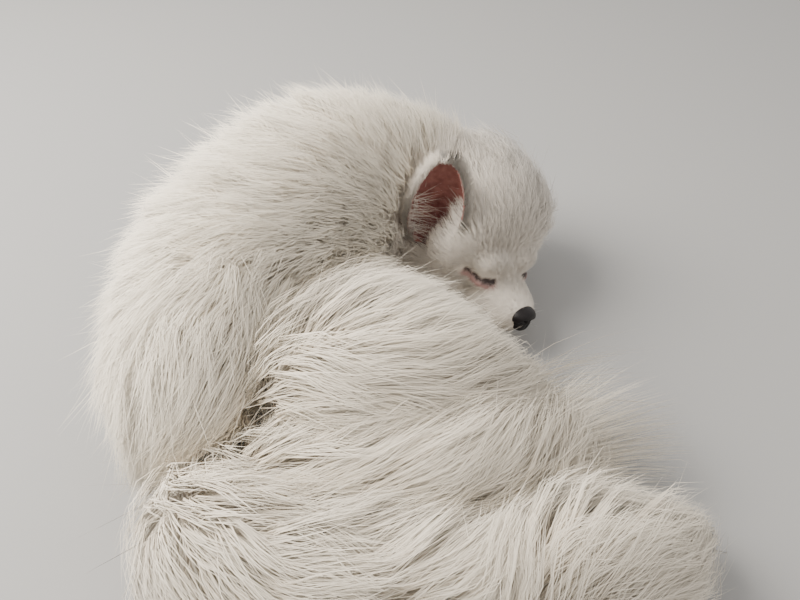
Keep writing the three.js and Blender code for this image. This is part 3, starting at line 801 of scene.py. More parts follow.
def eased_into_box(paths):
    """Points near the edge of the dog's own box drawn in gently, so that no tip leaves it by much."""
    for axis in range(3):
        paths[..., axis] -= too_far(paths[..., axis] - (BOX_HIGH[axis] + BOX_MARGIN - BOX_EASE))
        if axis < 2:
            paths[..., axis] += too_far((BOX_LOW[axis] - BOX_MARGIN + BOX_EASE) - paths[..., axis])
    paths[..., 2] = np.maximum(paths[..., 2], HAIR_FLOOR)
    return paths


STRAND_CORNERS = (math.pi / 2, math.pi * 7 / 6, math.pi * 11 / 6)
OWN_NORMAL = 0.2  # how much of its own roundness a strand shows over the roundness of the body


def strand_mesh(path, outs, width, thickness, taper):
    """Closed three-sided strands, flat side down: rings along each path and a point at the tip."""
    count, rings = path.shape[0], path.shape[1] - 1
    heading = unit(np.gradient(path, axis=1))
    side = unit(np.cross(heading, outs))
    up = np.cross(side, heading)
    corners = []
    facings = []
    for angle in STRAND_CORNERS:
        across = (width[:, None] * taper[None])[..., None] * math.cos(angle)
        out = (thickness[:, None] * taper[None])[..., None] * math.sin(angle)
        corners.append(path + side * across + up * out)
        facings.append(unit(outs + OWN_NORMAL * (side * math.cos(angle) + up * math.sin(angle))))
    ring_points = np.stack(corners, axis=2)[:, :rings].reshape(count, rings * 3, 3)
    points = np.concatenate([ring_points, path[:, rings:]], axis=1)
    ring_normals = np.stack(facings, axis=2)[:, :rings].reshape(count, rings * 3, 3)
    normals = np.concatenate([ring_normals, outs[:, rings:]], axis=1)
    triangles = [(0, 1, 2)]
    for ring in range(rings - 1):
        for k in range(3):
            a = ring * 3 + k
            b = ring * 3 + (k + 1) % 3
            triangles += [(a, b + 3, b), (a, a + 3, b + 3)]
    last = (rings - 1) * 3
    triangles += [(last + (k + 1) % 3, last + k, rings * 3) for k in range(3)]
    share = np.append(np.repeat(np.linspace(0, 1, rings + 1)[:rings], 3), 1.0)
    return points, np.array(triangles), share, normals


# The coat's flat map is that of the skin, unwrapped from a coarse copy: each strand has a patch at its root.
MAP_VOXEL = 0.008
MAP_PATCH = 0.003
MAP_ANGLE = math.radians(66)
MAP_GAP = 0.004

coarse = place_in_scene("coarse_skin", skin.data.copy())
close_surface(coarse, MAP_VOXEL)
bpy.ops.object.select_all(action="DESELECT")
bpy.context.view_layer.objects.active = coarse
coarse.select_set(True)
bpy.ops.object.mode_set(mode="EDIT")
bpy.ops.mesh.select_all(action="SELECT")
bpy.ops.uv.smart_project(angle_limit=MAP_ANGLE, island_margin=MAP_GAP)
bpy.ops.object.mode_set(mode="OBJECT")
coarse_points = read(coarse.data.vertices, "co", 3)
coarse_uv = read(coarse.data.uv_layers[0].data, "uv", 2)
coarse_faces = [tuple(polygon.vertices) for polygon in coarse.data.polygons]
coarse_starts = [polygon.loop_start for polygon in coarse.data.polygons]
coarse_tree = BVHTree.FromPolygons([Vector(place) for place in coarse_points], coarse_faces)
bpy.data.objects.remove(coarse)


def place_on_map(roots):
    """Where each root lies on the flat map of the skin."""
    found = np.empty((len(roots), 2))
    for i, root in enumerate(roots):
        near, _, face, _ = coarse_tree.find_nearest(Vector(root))
        corners = coarse_faces[face]
        weight = np.array([1 / ((Vector(coarse_points[c]) - near).length + 1e-4) for c in corners])
        uv = coarse_uv[coarse_starts[face] : coarse_starts[face] + len(corners)]
        found[i] = (uv * weight[:, None]).sum(axis=0) / weight.sum()
    return found


def make_coat(name, path, outs, width, thickness, taper, tone, material, slot):
    """One piece of the coat, as one mesh of many closed strands."""
    points, triangles, share, normals = strand_mesh(path, outs, width, thickness, taper)
    count, per = points.shape[0], points.shape[1]
    faces = (triangles[None] + (np.arange(count) * per)[:, None, None]).reshape(-1, 3)
    mesh = bpy.data.meshes.new(name)
    mesh.vertices.add(count * per)
    mesh.vertices.foreach_set("co", points.ravel())
    mesh.loops.add(len(faces) * 3)
    mesh.loops.foreach_set("vertex_index", faces.ravel())
    mesh.polygons.add(len(faces))
    mesh.polygons.foreach_set("loop_start", np.arange(len(faces)) * 3)
    mesh.update(calc_edges=True)
    mesh.shade_smooth()
    mesh.normals_split_custom_set_from_vertices(normals.reshape(-1, 3))
    write_mark(mesh, "along", np.tile(share, count))
    write_mark(mesh, "own", np.repeat(tone, per))
    around = np.append(np.tile([0.0, 0.5, 1.0], (per - 1) // 3), 0.5)
    patch = np.column_stack([around - 0.5, share - 0.5]) * MAP_PATCH
    uv = (place_on_map(path[:, 0])[:, None] + patch[None]).reshape(-1, 2)
    mesh.uv_layers.new(name="OFBake").data.foreach_set("uv", uv[faces.ravel()].ravel())
    mesh.materials.append(material)
    piece = place_in_scene(name, mesh)
    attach(piece, "root")


def own_tones(pick, count, spread_of_tone=0.04, darkest=0.85):
    """How bright each strand is against the others."""
    return np.clip(pick.normal(1.0, spread_of_tone, count), darkest, 1.1)


LOCK_TWIST = math.radians(9)
GUIDE_TWIST = math.radians(6)
LOCK_SIZE = 0.016
WAVES_PER_HAIR = 1.15
WAVE_PATCHES = 22
WAVE_SHIFTS = 9
LOOSE_WANDER = 3.0
FEWEST_STRANDS = 20
WIDTH_BY_LENGTH = 0.006


class Coat:
    """One kind of hair and its pieces: large locks, and finer guides that are drawn towards them."""

    def __init__(self, lie, weight, pieces, material, slot, locks, guides, pull, wave, seed):
        random = np.random.default_rng(seed)
        self.lie = lie
        self.weight = weight
        self.pieces = pieces
        self.material = material
        self.slot = slot
        lock_roots, lock_starts = spread(locks, weight, seed + 1)
        lock_twist = random.normal(0, LOCK_TWIST, locks)
        lock_long = random.uniform(0.85, 1.15, locks)
        lock_stand = random.uniform(0.88, 1.12, locks)
        lock_paths, _ = march(lie, lock_roots, lock_starts, lock_twist, lock_long, lock_stand)
        self.roots, starts = spread(guides, weight, seed + 2)
        owner = nearest_of(self.roots, lock_roots)
        twist = lock_twist[owner] * 0.8 + random.normal(0, GUIDE_TWIST, guides)
        long = lock_long[owner] * random.uniform(0.88, 1.1, guides)
        stand = lock_stand[owner] * random.uniform(0.85, 1.15, guides)
        paths, self.outs = march(lie, self.roots, starts, twist, long, stand)
        share = np.linspace(0, 1, PATH_STEPS + 1)
        side = unit(np.cross(np.gradient(paths, axis=1), self.outs))
        phase = np.array([noise.noise(Vector(root) * WAVE_PATCHES) for root in self.roots]) * WAVE_SHIFTS
        bend = np.sin(phase[:, None] + 2 * math.pi * WAVES_PER_HAIR * share[None]) * share[None]
        paths += side * (bend * (lie.length[starts] * wave)[:, None])[..., None]
        apart = self.roots - lock_roots[owner]
        near = np.clip(1.4 - np.linalg.norm(apart, axis=1) / LOCK_SIZE, 0, 1) * pull
        draw = (share**1.4)[None, :, None] * near[:, None, None]
        self.paths = paths * (1 - draw) + (lock_paths[owner] + 0.4 * apart[:, None]) * draw

    def strands(self, count, rings, gather, wander, seed, reach=(0.72, 1.0), flyaway=0.05):
        """Paths that follow their nearest guide, drawn together towards its tip."""
        pick = np.random.default_rng(seed)
        roots, starts = spread(count, self.weight, seed + 1)
        owner = nearest_of(roots, self.roots)
        offset = roots - self.roots[owner]
        share = np.linspace(0, 1, rings + 1)
        reached = pick.uniform(*reach, count)
        place = share[None] * reached[:, None] * PATH_STEPS
        first = np.minimum(place.astype(int), PATH_STEPS - 1)
        rest = (place - first)[..., None]
        guides = self.paths[owner]
        rows = np.arange(count)[:, None]
        path = guides[rows, first] * (1 - rest) + guides[rows, first + 1] * rest
        outs = self.outs[owner][rows, first]
        path = path + offset[:, None] * (1 - gather * share**1.2)[None, :, None]
        loose = np.where(pick.random(count) < flyaway, LOOSE_WANDER, 1.0)
        drift = pick.normal(0, 1, (count, 3)) * (self.lie.length[starts] * wander * loose)[:, None]
        path = eased_into_box(path + drift[:, None] * (share**1.6)[None, :, None])
        path[:, 0] = roots - skin_normals[starts] * ROOT_DEPTH
        path[:, 0, 2] = np.maximum(path[:, 0, 2], ROOT_FLOOR)
        return path, outs, starts

    def grow(self, prefix, count, seeds, width, thickness, taper, gather, wander, finest=None, **stray):
        """A layer of strands: each goes to the piece whose middle is nearest to its root.

        Where a finest width is given, the strands are that and wider where their hair is longer.
        """
        path, outs, starts = self.strands(count, len(taper) - 1, gather, wander, seeds[0], **stray)
        pick = np.random.default_rng(seeds[1])
        scale = pick.uniform(0.7, 1.25, count)
        tone = own_tones(pick, count, spread_of_tone=0.045, darkest=0.84)
        fine = 1.0
        if finest is not None:
            fine = finest + self.lie.length[starts] * WIDTH_BY_LENGTH
        wide = width * scale * fine
        thick = thickness * scale * fine
        middles = np.array(list(self.pieces.values())) * CM + np.array(SHIFT)
        owner = np.argmin(((path[:, 0, None] - middles[None]) ** 2).sum(axis=2), axis=1)
        for index, name in enumerate(self.pieces):
            mine = owner == index
            if mine.sum() > FEWEST_STRANDS:
                sizes = (wide[mine], thick[mine], taper, tone[mine])
                make_coat(prefix + name, path[mine], outs[mine], *sizes, self.material, self.slot)


def computed(tree, operation, *values):
    """The result of a sum on numbers or on the outputs of nodes."""
    maths = tree.nodes.new("ShaderNodeMath")
    maths.operation = operation
    for index, value in enumerate(values):
        if isinstance(value, float):
            maths.inputs[index].default_value = value
        else:
            tree.links.new(value, maths.inputs[index])
    return maths.outputs["Value"]


def hair_tone_group():
    """Colour of a hair from its root to its tip, with a little of its own tone and soft patches."""
    inputs = {"Root": "Color", "Tip": "Color", "Along": "Float", "Own": "Float", "Patchiness": "Float"}
    tree, start, end = new_group("hair_tone", inputs, {"Color": "Color"})
    rise = tree.nodes.new("ShaderNodeMapRange")
    rise.inputs["From Min"].default_value = 0.0
    rise.inputs["From Max"].default_value = 0.6
    tree.links.new(start.outputs["Along"], rise.inputs["Value"])
    colour = mixed(tree, rise.outputs["Result"], start.outputs["Root"], start.outputs["Tip"])
    cloud = texture(tree, "ShaderNodeTexNoise", Scale=18.0, Detail=2.0)
    centred = computed(tree, "SUBTRACT", cloud.outputs["Fac"], 0.5)
    patch = computed(tree, "MULTIPLY_ADD", centred, start.outputs["Patchiness"], start.outputs["Own"])
    tone = tree.nodes.new("ShaderNodeHueSaturation")
    tree.links.new(patch, tone.inputs["Value"])
    tree.links.new(colour, tone.inputs["Color"])
    tree.links.new(tone.outputs["Color"], end.inputs["Color"])
    return tree


hair_tone = hair_tone_group()


def hair_material(name, root, tip, roughness, patchiness=0.16):
    material, tree, shader = new_material(name, roughness)
    shader.inputs["Specular IOR Level"].default_value = HAIR_SHINE
    shader.inputs["Sheen Weight"].default_value = HAIR_SHEEN
    tone = place_group(tree, hair_tone, Root=(*root, 1), Tip=(*tip, 1), Patchiness=patchiness)
    tree.links.new(mark(tree, "along"), tone.inputs["Along"])
    tree.links.new(mark(tree, "own"), tone.inputs["Own"])
    tree.links.new(tone.outputs["Color"], shader.inputs["Base Color"])
    return material


TAPER_1 = np.array([1.0, 0.0])
TAPER_2 = np.array([0.8, 1.0, 0.0])
TAPER_3 = np.array([0.9, 1.0, 0.6, 0.0])
UNDERCOAT_REACH = (0.4, 0.85)

coat_material = hair_material("long_hair", HAIR_ROOT, HAIR_TIP, HAIR_ROUGHNESS)
trunk_weight = off_floor * off_head * is_trunk * np.clip(1.5 - 2.2 * ear_hollow, 0, 1)
trunk_coat = Coat(
    Lie(between_places(TRUNK_LIE)), trunk_weight, TRUNK_PIECES, coat_material, "coat",
    locks=420, guides=4600, pull=0.15, wave=0.02, seed=11,
)
trunk_coat.grow(
    "coat_", count=38000, seeds=(40, 42), width=0.00023, thickness=0.00014, taper=TAPER_2,
    gather=0.18, wander=0.07, flyaway=0.09,
)
trunk_coat.grow(
    "undercoat_", count=40000, seeds=(44, 46), width=0.00026, thickness=0.00016, taper=TAPER_1,
    gather=0.2, wander=0.08, reach=UNDERCOAT_REACH,
)

# The coat of the legs: long, wavy, a little darker in tone, partly from its own cream and partly as painted
# shade, in flat locks that sweep to the right.
# It grows over a shorter undercoat, and on the paws it is as short as plush.
LEG_LIE = [
    # the thigh, swept to the right
    ((-10.0, -6.5, 8.6), (0.75, 0.6, 0.1), 5.0, 0.40),
    ((-8.5, -4.0, 9.6), (0.7, 0.7, 0.1), 4.8, 0.40),
    ((-6.6, -6.2, 8.3), (0.92, 0.37, -0.1), 5.6, 0.40),
    ((-4.6, -3.1, 8.9), (0.85, 0.4, 0.1), 5.4, 0.40),
    ((-3.1, -5.9, 8.6), (0.98, -0.2, -0.1), 5.8, 0.40),
    ((-0.9, -3.9, 10.3), (0.8, 0.55, -0.2), 5.2, 0.38),
    ((0.9, -6.2, 8.2), (0.97, 0.17, -0.17), 5.8, 0.40),
    ((4.5, -5.1, 7.7), (0.8, 0.5, -0.3), 5.4, 0.42),
    ((7.5, -4.0, 5.0), (0.7, 0.6, -0.3), 5.6, 0.50),
    # the right foreleg, under the cheek
    ((-4.0, 2.5, 9.0), (0.6, 0.6, 0.0), 4.2, 0.40),
    ((-0.5, 0.5, 8.5), (0.7, 0.6, 0.0), 4.2, 0.42),
    ((3.0, -1.0, 7.5), (0.75, 0.6, -0.1), 4.0, 0.42),
    ((7.0, -1.5, 4.5), (0.8, 0.5, -0.3), 4.0, 0.45),
    # the near leg and the root of the tail
    ((-12.0, -7.3, 7.5), (0.58, -0.6, -0.5), 5.6, 0.38),
    ((-11.5, -10.0, 5.0), (0.5, -0.75, -0.4), 5.6, 0.36),
    ((-8.9, -9.0, 6.4), (0.85, -0.45, 0.0), 5.6, 0.36),
    ((-4.3, -9.0, 6.9), (0.97, -0.05, 0.2), 5.8, 0.38),
    ((-7.5, -11.0, 7.0), (0.85, -0.2, -0.3), 5.8, 0.38),
    ((0.0, -10.0, 7.6), (0.9, 0.25, -0.3), 5.8, 0.40),
    ((0.8, -10.7, 6.5), (0.79, 0.61, 0.0), 6.0, 0.42),
    ((3.4, -9.4, 6.8), (0.59, 0.80, 0.08), 6.4, 0.45),
    ((6.5, -8.5, 5.6), (0.5, 0.85, 0.05), 6.8, 0.50),
    ((9.5, -6.0, 3.6), (0.55, 0.8, 0.15), 7.0, 0.55),
]
LEG_PIECES = {
    "thigh": (-2.5, -4.0, 9.0),
    "knee": (5.5, -3.0, 6.0),
    "near_leg": (-4.0, -9.5, 6.5),
    "near_leg_end": (5.5, -8.0, 4.5),
}
# The feather hair is darker than the trunk's: partly its own cream, partly painted shade on the lower, near
# side.
FEATHER_TIP_TONE_AND_SHADE = (0.90, 0.81, 0.67)
FEATHER_ROOT_TONE_AND_SHADE = (0.86, 0.72, 0.55)
PAW_LENGTH_AND_STAND = np.array([0.6, 0.3])

feather_tone_and_shade_material = hair_material("feather_hair_tone_and_shade", FEATHER_ROOT_TONE_AND_SHADE, FEATHER_TIP_TONE_AND_SHADE, HAIR_ROUGHNESS)
leg_values = between_places(LEG_LIE)
leg_values[:, 3:] = leg_values[:, 3:] * (1 - on_paw[:, None]) + PAW_LENGTH_AND_STAND * on_paw[:, None]
leg_lie = Lie(leg_values)
leg_weight = off_floor * off_head * is_leg * (1 - on_paw)
leg_coat = Coat(
    leg_lie, leg_weight, LEG_PIECES, feather_tone_and_shade_material, "coat",
    locks=260, guides=2600, pull=0.5, wave=0.05, seed=13,
)
leg_coat.grow(
    "coat_", count=14500, seeds=(50, 52), width=0.00028, thickness=0.00017, taper=TAPER_3,
    gather=0.4, wander=0.04,
)
leg_coat.grow(
    "undercoat_", count=18000, seeds=(51, 53), width=0.00034, thickness=0.0002, taper=TAPER_1,
    gather=0.2, wander=0.06, reach=UNDERCOAT_REACH,
)

# Fringe of the legs: the thin ends of the longest hair, which fan out over the floor before the nose.
# They are single hairs that leave the leg at the right and sink towards the floor.
FRINGE_COUNT = 560
FRINGE_WAY = np.array([0.66, 0.62, 0.12])
FRINGE_SAG = np.array([0.18, 0.05, -0.42])
FRINGE_TAPER = np.array([0.8, 1.0, 0.8, 0.5, 0.0])


def straight_hairs(roots, ways, outs, lengths, bends, rings):
    """Paths of free hairs: each starts along its way and bends towards another direction."""
    share = np.linspace(0, 1, rings + 1)[None, :, None]
    path = roots[:, None] + ways[:, None] * lengths[:, None, None] * share
    path = path + np.broadcast_to(bends, roots.shape)[:, None] * lengths[:, None, None] * share**2
    return path, np.repeat(outs[:, None], rings + 1, axis=1)


pick = np.random.default_rng(58)
fringe_place = rising(centimetres[:, 0], 4.5, 3) * rising(centimetres[:, 1], -10.5, 2)
fringe_place = fringe_place * falling(centimetres[:, 1], -2.5, 1.5)
fringe_weight = leg_weight * fringe_place * np.clip(skin_normals[:, 2] + 0.4, 0, 1)
roots, starts = spread(FRINGE_COUNT, fringe_weight, 59)
outs = skin_normals[starts]
ways = unit(FRINGE_WAY + 0.45 * outs + pick.normal(0, 0.13, (FRINGE_COUNT, 3)))
lengths = pick.uniform(0.05, 0.085, FRINGE_COUNT)
path, outs = straight_hairs(roots, ways, outs, lengths, FRINGE_SAG, rings=4)
path = eased_into_box(path)
width = pick.uniform(0.00014, 0.00022, FRINGE_COUNT)
tone = own_tones(pick, FRINGE_COUNT)
make_coat("coat_leg_fringe", path, outs, width, width * 0.8, FRINGE_TAPER, tone, feather_tone_and_shade_material, "coat")

# The tail: long hair of the same kind, drawn along it over a shorter undercoat.
# It ends in a plume that rises and falls over to the right.
TAIL_LIE = [
    # along the tail, over the near side
    ((-9.5, -8.0, 7.0), (0.3, -0.9, -0.2), 5.0, 0.38),
    ((-8.0, -14.5, 5.0), (0.75, -0.5, -0.2), 5.4, 0.38),
    ((-7.0, -11.0, 8.0), (0.8, -0.3, 0.0), 5.4, 0.38),
    ((-3.0, -14.5, 7.5), (0.95, -0.1, 0.0), 5.4, 0.40),
    ((-1.0, -16.5, 4.5), (0.95, -0.1, 0.0), 5.4, 0.40),
    # the plume at its end, which rises and falls over to the right
    ((1.3, -13.5, 7.5), (0.9, 0.35, 0.0), 4.4, 0.38),
    ((1.1, -16.0, 5.4), (0.9, 0.2, 0.1), 4.6, 0.38),
    ((3.6, -13.3, 8.1), (0.2, 0.9, 0.2), 4.4, 0.52),
    ((3.9, -15.8, 6.0), (0.1, 0.8, 0.6), 5.0, 0.55),
    ((5.6, -13.4, 8.0), (0.65, 0.75, 0.0), 5.0, 0.42),
    ((7.0, -15.5, 5.8), (0.75, 0.5, 0.4), 5.4, 0.46),
    ((8.8, -12.1, 7.4), (0.92, 0.35, -0.05), 5.2, 0.36),
    ((9.5, -14.5, 5.0), (0.94, 0.25, 0.1), 5.6, 0.42),
    ((13.0, -9.5, 4.5), (0.85, 0.5, 0.0), 4.8, 0.42),
    ((-6.0, -16.5, 3.0), (0.7, -0.6, -0.4), 4.6, 0.35),
    ((3.0, -17.5, 3.0), (0.85, 0.1, 0.1), 4.6, 0.40),
    ((10.0, -14.5, 2.5), (0.9, 0.1, -0.2), 4.6, 0.40),
]
TAIL_PIECES = {
    "tail_root": (-7.5, -13.0, 5.0),
    "tail_middle": (0.5, -15.0, 5.0),
    "tail_plume": (9.5, -12.0, 5.0),
}

tail_weight = off_floor * off_head * is_tail * (1 - on_paw)
# The tail wears the feather hair, whose darker tone is partly painted shade.
tail_coat = Coat(
    Lie(between_places(TAIL_LIE)), tail_weight, TAIL_PIECES, feather_tone_and_shade_material, "coat",
    locks=200, guides=2200, pull=0.4, wave=0.04, seed=19,
)
tail_coat.grow(
    "coat_", count=11500, seeds=(54, 56), width=0.00029, thickness=0.00017, taper=TAPER_3,
    gather=0.4, wander=0.04,
)
tail_coat.grow(
    "undercoat_", count=12000, seeds=(55, 57), width=0.00034, thickness=0.0002, taper=TAPER_1,
    gather=0.2, wander=0.06, reach=UNDERCOAT_REACH,
)

# Coat of the head: short plush hair away from the nose, finest round the nose and eyes, longer over
# the crown and cheeks. The lids, the nose and the ear's hollow are left bare.
NOSE_TIP = np.array([5.8, 0.0, -0.9])
NOSE_MIDDLE = (5.2, 0, -0.95)
NOSE_REACH = (0.85, 1.05, 0.8)
LENGTH_FROM_NOSE = np.array([(0, 0.24), (2.0, 0.38), (3.5, 0.60), (5.5, 1.05), (8.0, 1.9), (10.5, 2.8)])
STAND_FROM_NOSE = np.array([(0, 0.2), (3.5, 0.28), (6.0, 0.42), (9.0, 0.52), (11.0, 0.65)])
BARE_UNDER_SLIT = np.array([0, 0, -0.12])
FACE_HAIR_ROOT = (0.86, 0.80, 0.73)
FACE_HAIR_ROUGHNESS = 0.85
FACE_PATCHINESS = 0.08
HEAD_PIECES = {
    "crown": (1.0, 10.5, 8.0),
    "right_cheek": (2.0, 6.0, 4.0),
    "left_cheek": (8.0, 10.0, 2.5),
    "muzzle": (6.8, 5.0, 3.0),
}

from_nose = head_place - NOSE_TIP
face_reach = np.linalg.norm(from_nose, axis=1)
face_way = unit(from_nose) @ np.array(head_turn.to_3x3()).T
leftward = head_place[:, 1]
upward = head_place[:, 2]
left_cheek = rising(leftward, 1.0, 1.0) * falling(upward, 1.6, 1.0)
left_crown = rising(leftward, 1.0, 2.0) * rising(upward, 0.6, 1.5)
before_ear = np.clip(2.0 * ear_hollow - 0.5, 0, 1)
face_length = np.interp(face_reach, *LENGTH_FROM_NOSE.T)
face_length = face_length * (1 - 0.45 * left_cheek)
face_length = face_length * (1 + 0.45 * left_crown)
face_length = face_length * (1 - 0.6 * before_ear)
face_stand = np.interp(face_reach, *STAND_FROM_NOSE.T)
face_stand = face_stand * (1 - 0.35 * before_ear) + 0.14 * left_crown
face_lie = Lie(np.column_stack([face_way, face_length, face_stand]))

bare = np.zeros(len(skin_points))
for side in SIDES:
    bare = np.maximum(bare, near_line(head_place, slits[side] + BARE_UNDER_SLIT, most=2.4, width=0.34))
bare = np.maximum(bare, falling(egg_distance(head_place, NOSE_MIDDLE, NOSE_REACH), 1.6, 1.0))
bare = np.maximum(bare, np.clip(3.0 * ear_hollow - 1.2, 0, 1))
fineness = 1 + 4 * np.clip(1 - (face_lie.length - 0.003) / 0.012, 0, 1)
head_weight = near_face * fineness * off_floor * np.clip(1 - bare, 0, 1)
# The short hair's tip colour is the face colour, darkened as painted shade.
face_painted_shade_material = hair_material("short_hair_painted_shade", FACE_HAIR_ROOT, FACE_HAIR_PAINTED_SHADE, FACE_HAIR_ROUGHNESS, FACE_PATCHINESS)
head_coat = Coat(
    face_lie, head_weight, HEAD_PIECES, face_painted_shade_material, "short_fur",
    locks=260, guides=5000, pull=0.15, wave=0.01, seed=15,
)
head_coat.grow(
    "coat_", count=20000, seeds=(60, 62), width=1.0, thickness=0.6, taper=TAPER_2,
    gather=0.25, wander=0.06, finest=0.00006,
)
head_coat.grow(
    "plush_", count=32000, seeds=(64, 66), width=1.0, thickness=0.6, taper=TAPER_1,
    gather=0.15, wander=0.08, finest=0.00007, reach=(0.4, 0.9),
)

# Coat of the paws: hair of a few millimetres that lies along the toes, of the same tone as the face, with
# its painted shade.
# It is one piece over all four paws.
PAW_PIECES = {"paws": (6.0, -3.0, 1.0)}

paw_weight = on_paw * off_floor * (1 - near_face)
paw_coat = Coat(
    leg_lie, paw_weight, PAW_PIECES, face_painted_shade_material, "short_fur",
    locks=60, guides=500, pull=0.1, wave=0.0, seed=17,
)
paw_coat.grow(
    "coat_", count=1200, seeds=(70, 72), width=0.0003, thickness=0.0002, taper=TAPER_3,
    gather=0.3, wander=0.05,
)

# Ears: thin round-tipped cups of gristle and skin, dark pink inside and darker towards the base of the cup
# as painted shade, that open forwards.
# The right one stands up and the left one is laid back. Each has its path and the way it opens.
EARS = {
    "right": ([(-0.8, -3.8, 1.0), (-0.5, -4.1, 3.6), (-0.8, -4.3, 6.2)], (0.7, -0.7, 0.1)),
    "left": ([(-1.0, 3.6, 1.2), (-2.0, 4.0, 2.9), (-3.2, 4.2, 4.0)], (0.62, 0.62, 0.48)),
}
EAR_HALF_WIDTH = [1.45, 1.75, 1.10]
EAR_HALF_DEPTH = [1.25, 1.1, 0.5]
EAR_WALL = 0.0013
EAR_THINNEST = 0.0004
EAR_CURL = 28
EAR_COLUMNS = 28
EAR_DARK_SKIN_AND_SHADE = (0.11, 0.022, 0.02)
EAR_PALE = (0.44, 0.19, 0.16)
EAR_ROUGHNESS = 0.6

ear_material, tree, shader = new_material("ear_inside_and_painted_shade", EAR_ROUGHNESS)
blotches = place_group(tree, mottle, Scale=260.0, Detail=4.0).outputs["Height"]
# Inside the cup the colour darkens towards its middle and base as painted shade, over blotches of the skin's
# own colour.
painted_shade_in_cup = computed(tree, "SUBTRACT", mark(tree, "depth"), 0.45)
blotches_and_painted_shade = computed(tree, "MULTIPLY_ADD", blotches, 0.9, painted_shade_in_cup)
tree.links.new(mixed(tree, blotches_and_painted_shade, EAR_PALE, EAR_DARK_SKIN_AND_SHADE), shader.inputs["Base Color"])
raise_grain(tree, shader, blotches, strength=0.5, depth=0.001)


def make_ear(side, path, opening):
    """The cup of an ear, as an outer and an inner layer that are closed along the rims."""
    sizes = (np.array(EAR_HALF_WIDTH) * CM, np.array(EAR_HALF_DEPTH) * CM)
    form = Form(np.array(path) * CM, *sizes, 2.6, opening, HEAD)
    angles = np.radians(np.linspace(180 - EAR_CURL, 360 + EAR_CURL, EAR_COLUMNS + 1))
    layers = []
    for wall in (0.0, EAR_WALL):
        width = np.maximum(form.width - wall, EAR_THINNEST)[:, None, None]
        depth = np.maximum(form.height - wall, EAR_THINNEST)[:, None, None]
        across = form.side[:, None] * width * np.cos(angles)[None, :, None]
        out = form.top[:, None] * depth * np.sin(angles)[None, :, None]
        layers.append(form.centre[:, None] + across + out)
    columns = EAR_COLUMNS + 1
    size = STATIONS * columns
    points = np.concatenate([layer.reshape(-1, 3) for layer in layers])
    faces = []
    for i in range(STATIONS - 1):
        for k in range(EAR_COLUMNS):
            a = i * columns + k
            faces.append((a, a + 1, a + 1 + columns, a + columns))
            faces.append((size + a, size + a + columns, size + a + 1 + columns, size + a + 1))
        for k in (0, EAR_COLUMNS):
            a = i * columns + k
            corners = (a, a + columns, size + a + columns, size + a)
            faces.append(corners if k == 0 else corners[::-1])
    for i in (0, STATIONS - 1):
        for k in range(EAR_COLUMNS):
            a = i * columns + k
            corners = (a, size + a, size + a + 1, a + 1)
            faces.append(corners if i == 0 else corners[::-1])
    piece = mesh_piece("ear_skin_" + side, points, faces)
    piece.data.shade_smooth()
    # The inner layer is marked darker towards the middle and the base of the cup, as painted shade.
    inner = np.arange(len(points)) >= size
    middle = 1 - np.abs(np.linspace(-1, 1, columns)) ** 2
    low = 1 - 0.55 * np.linspace(0, 1, STATIONS)
    write_mark(piece.data, "depth", np.where(inner, np.tile((low[:, None] * middle[None]).ravel(), 2), 0))
    piece.data.materials.append(ear_material)
    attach(piece, "root")
    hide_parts("ear_" + side)
    return form, angles, layers


# Fur of the ears: short hair on the back of each, a thick white edge along its rims, and a few long
# pale hairs that cross its hollow. The left ear is laid back, so its fur mixes with that of the crown.
EAR_BACK_LENGTH = {"right": 0.009, "left": 0.018}
EAR_FUR_SEED = {"right": 80, "left": 81}
BACK_HAIRS = 4200
EDGE_HAIRS = 3400
CROSSING_HAIRS = 110
EAR_HAIR_WIDTHS = (0.00018, 0.00019, 0.00011)
EAR_SCATTER = 0.0007


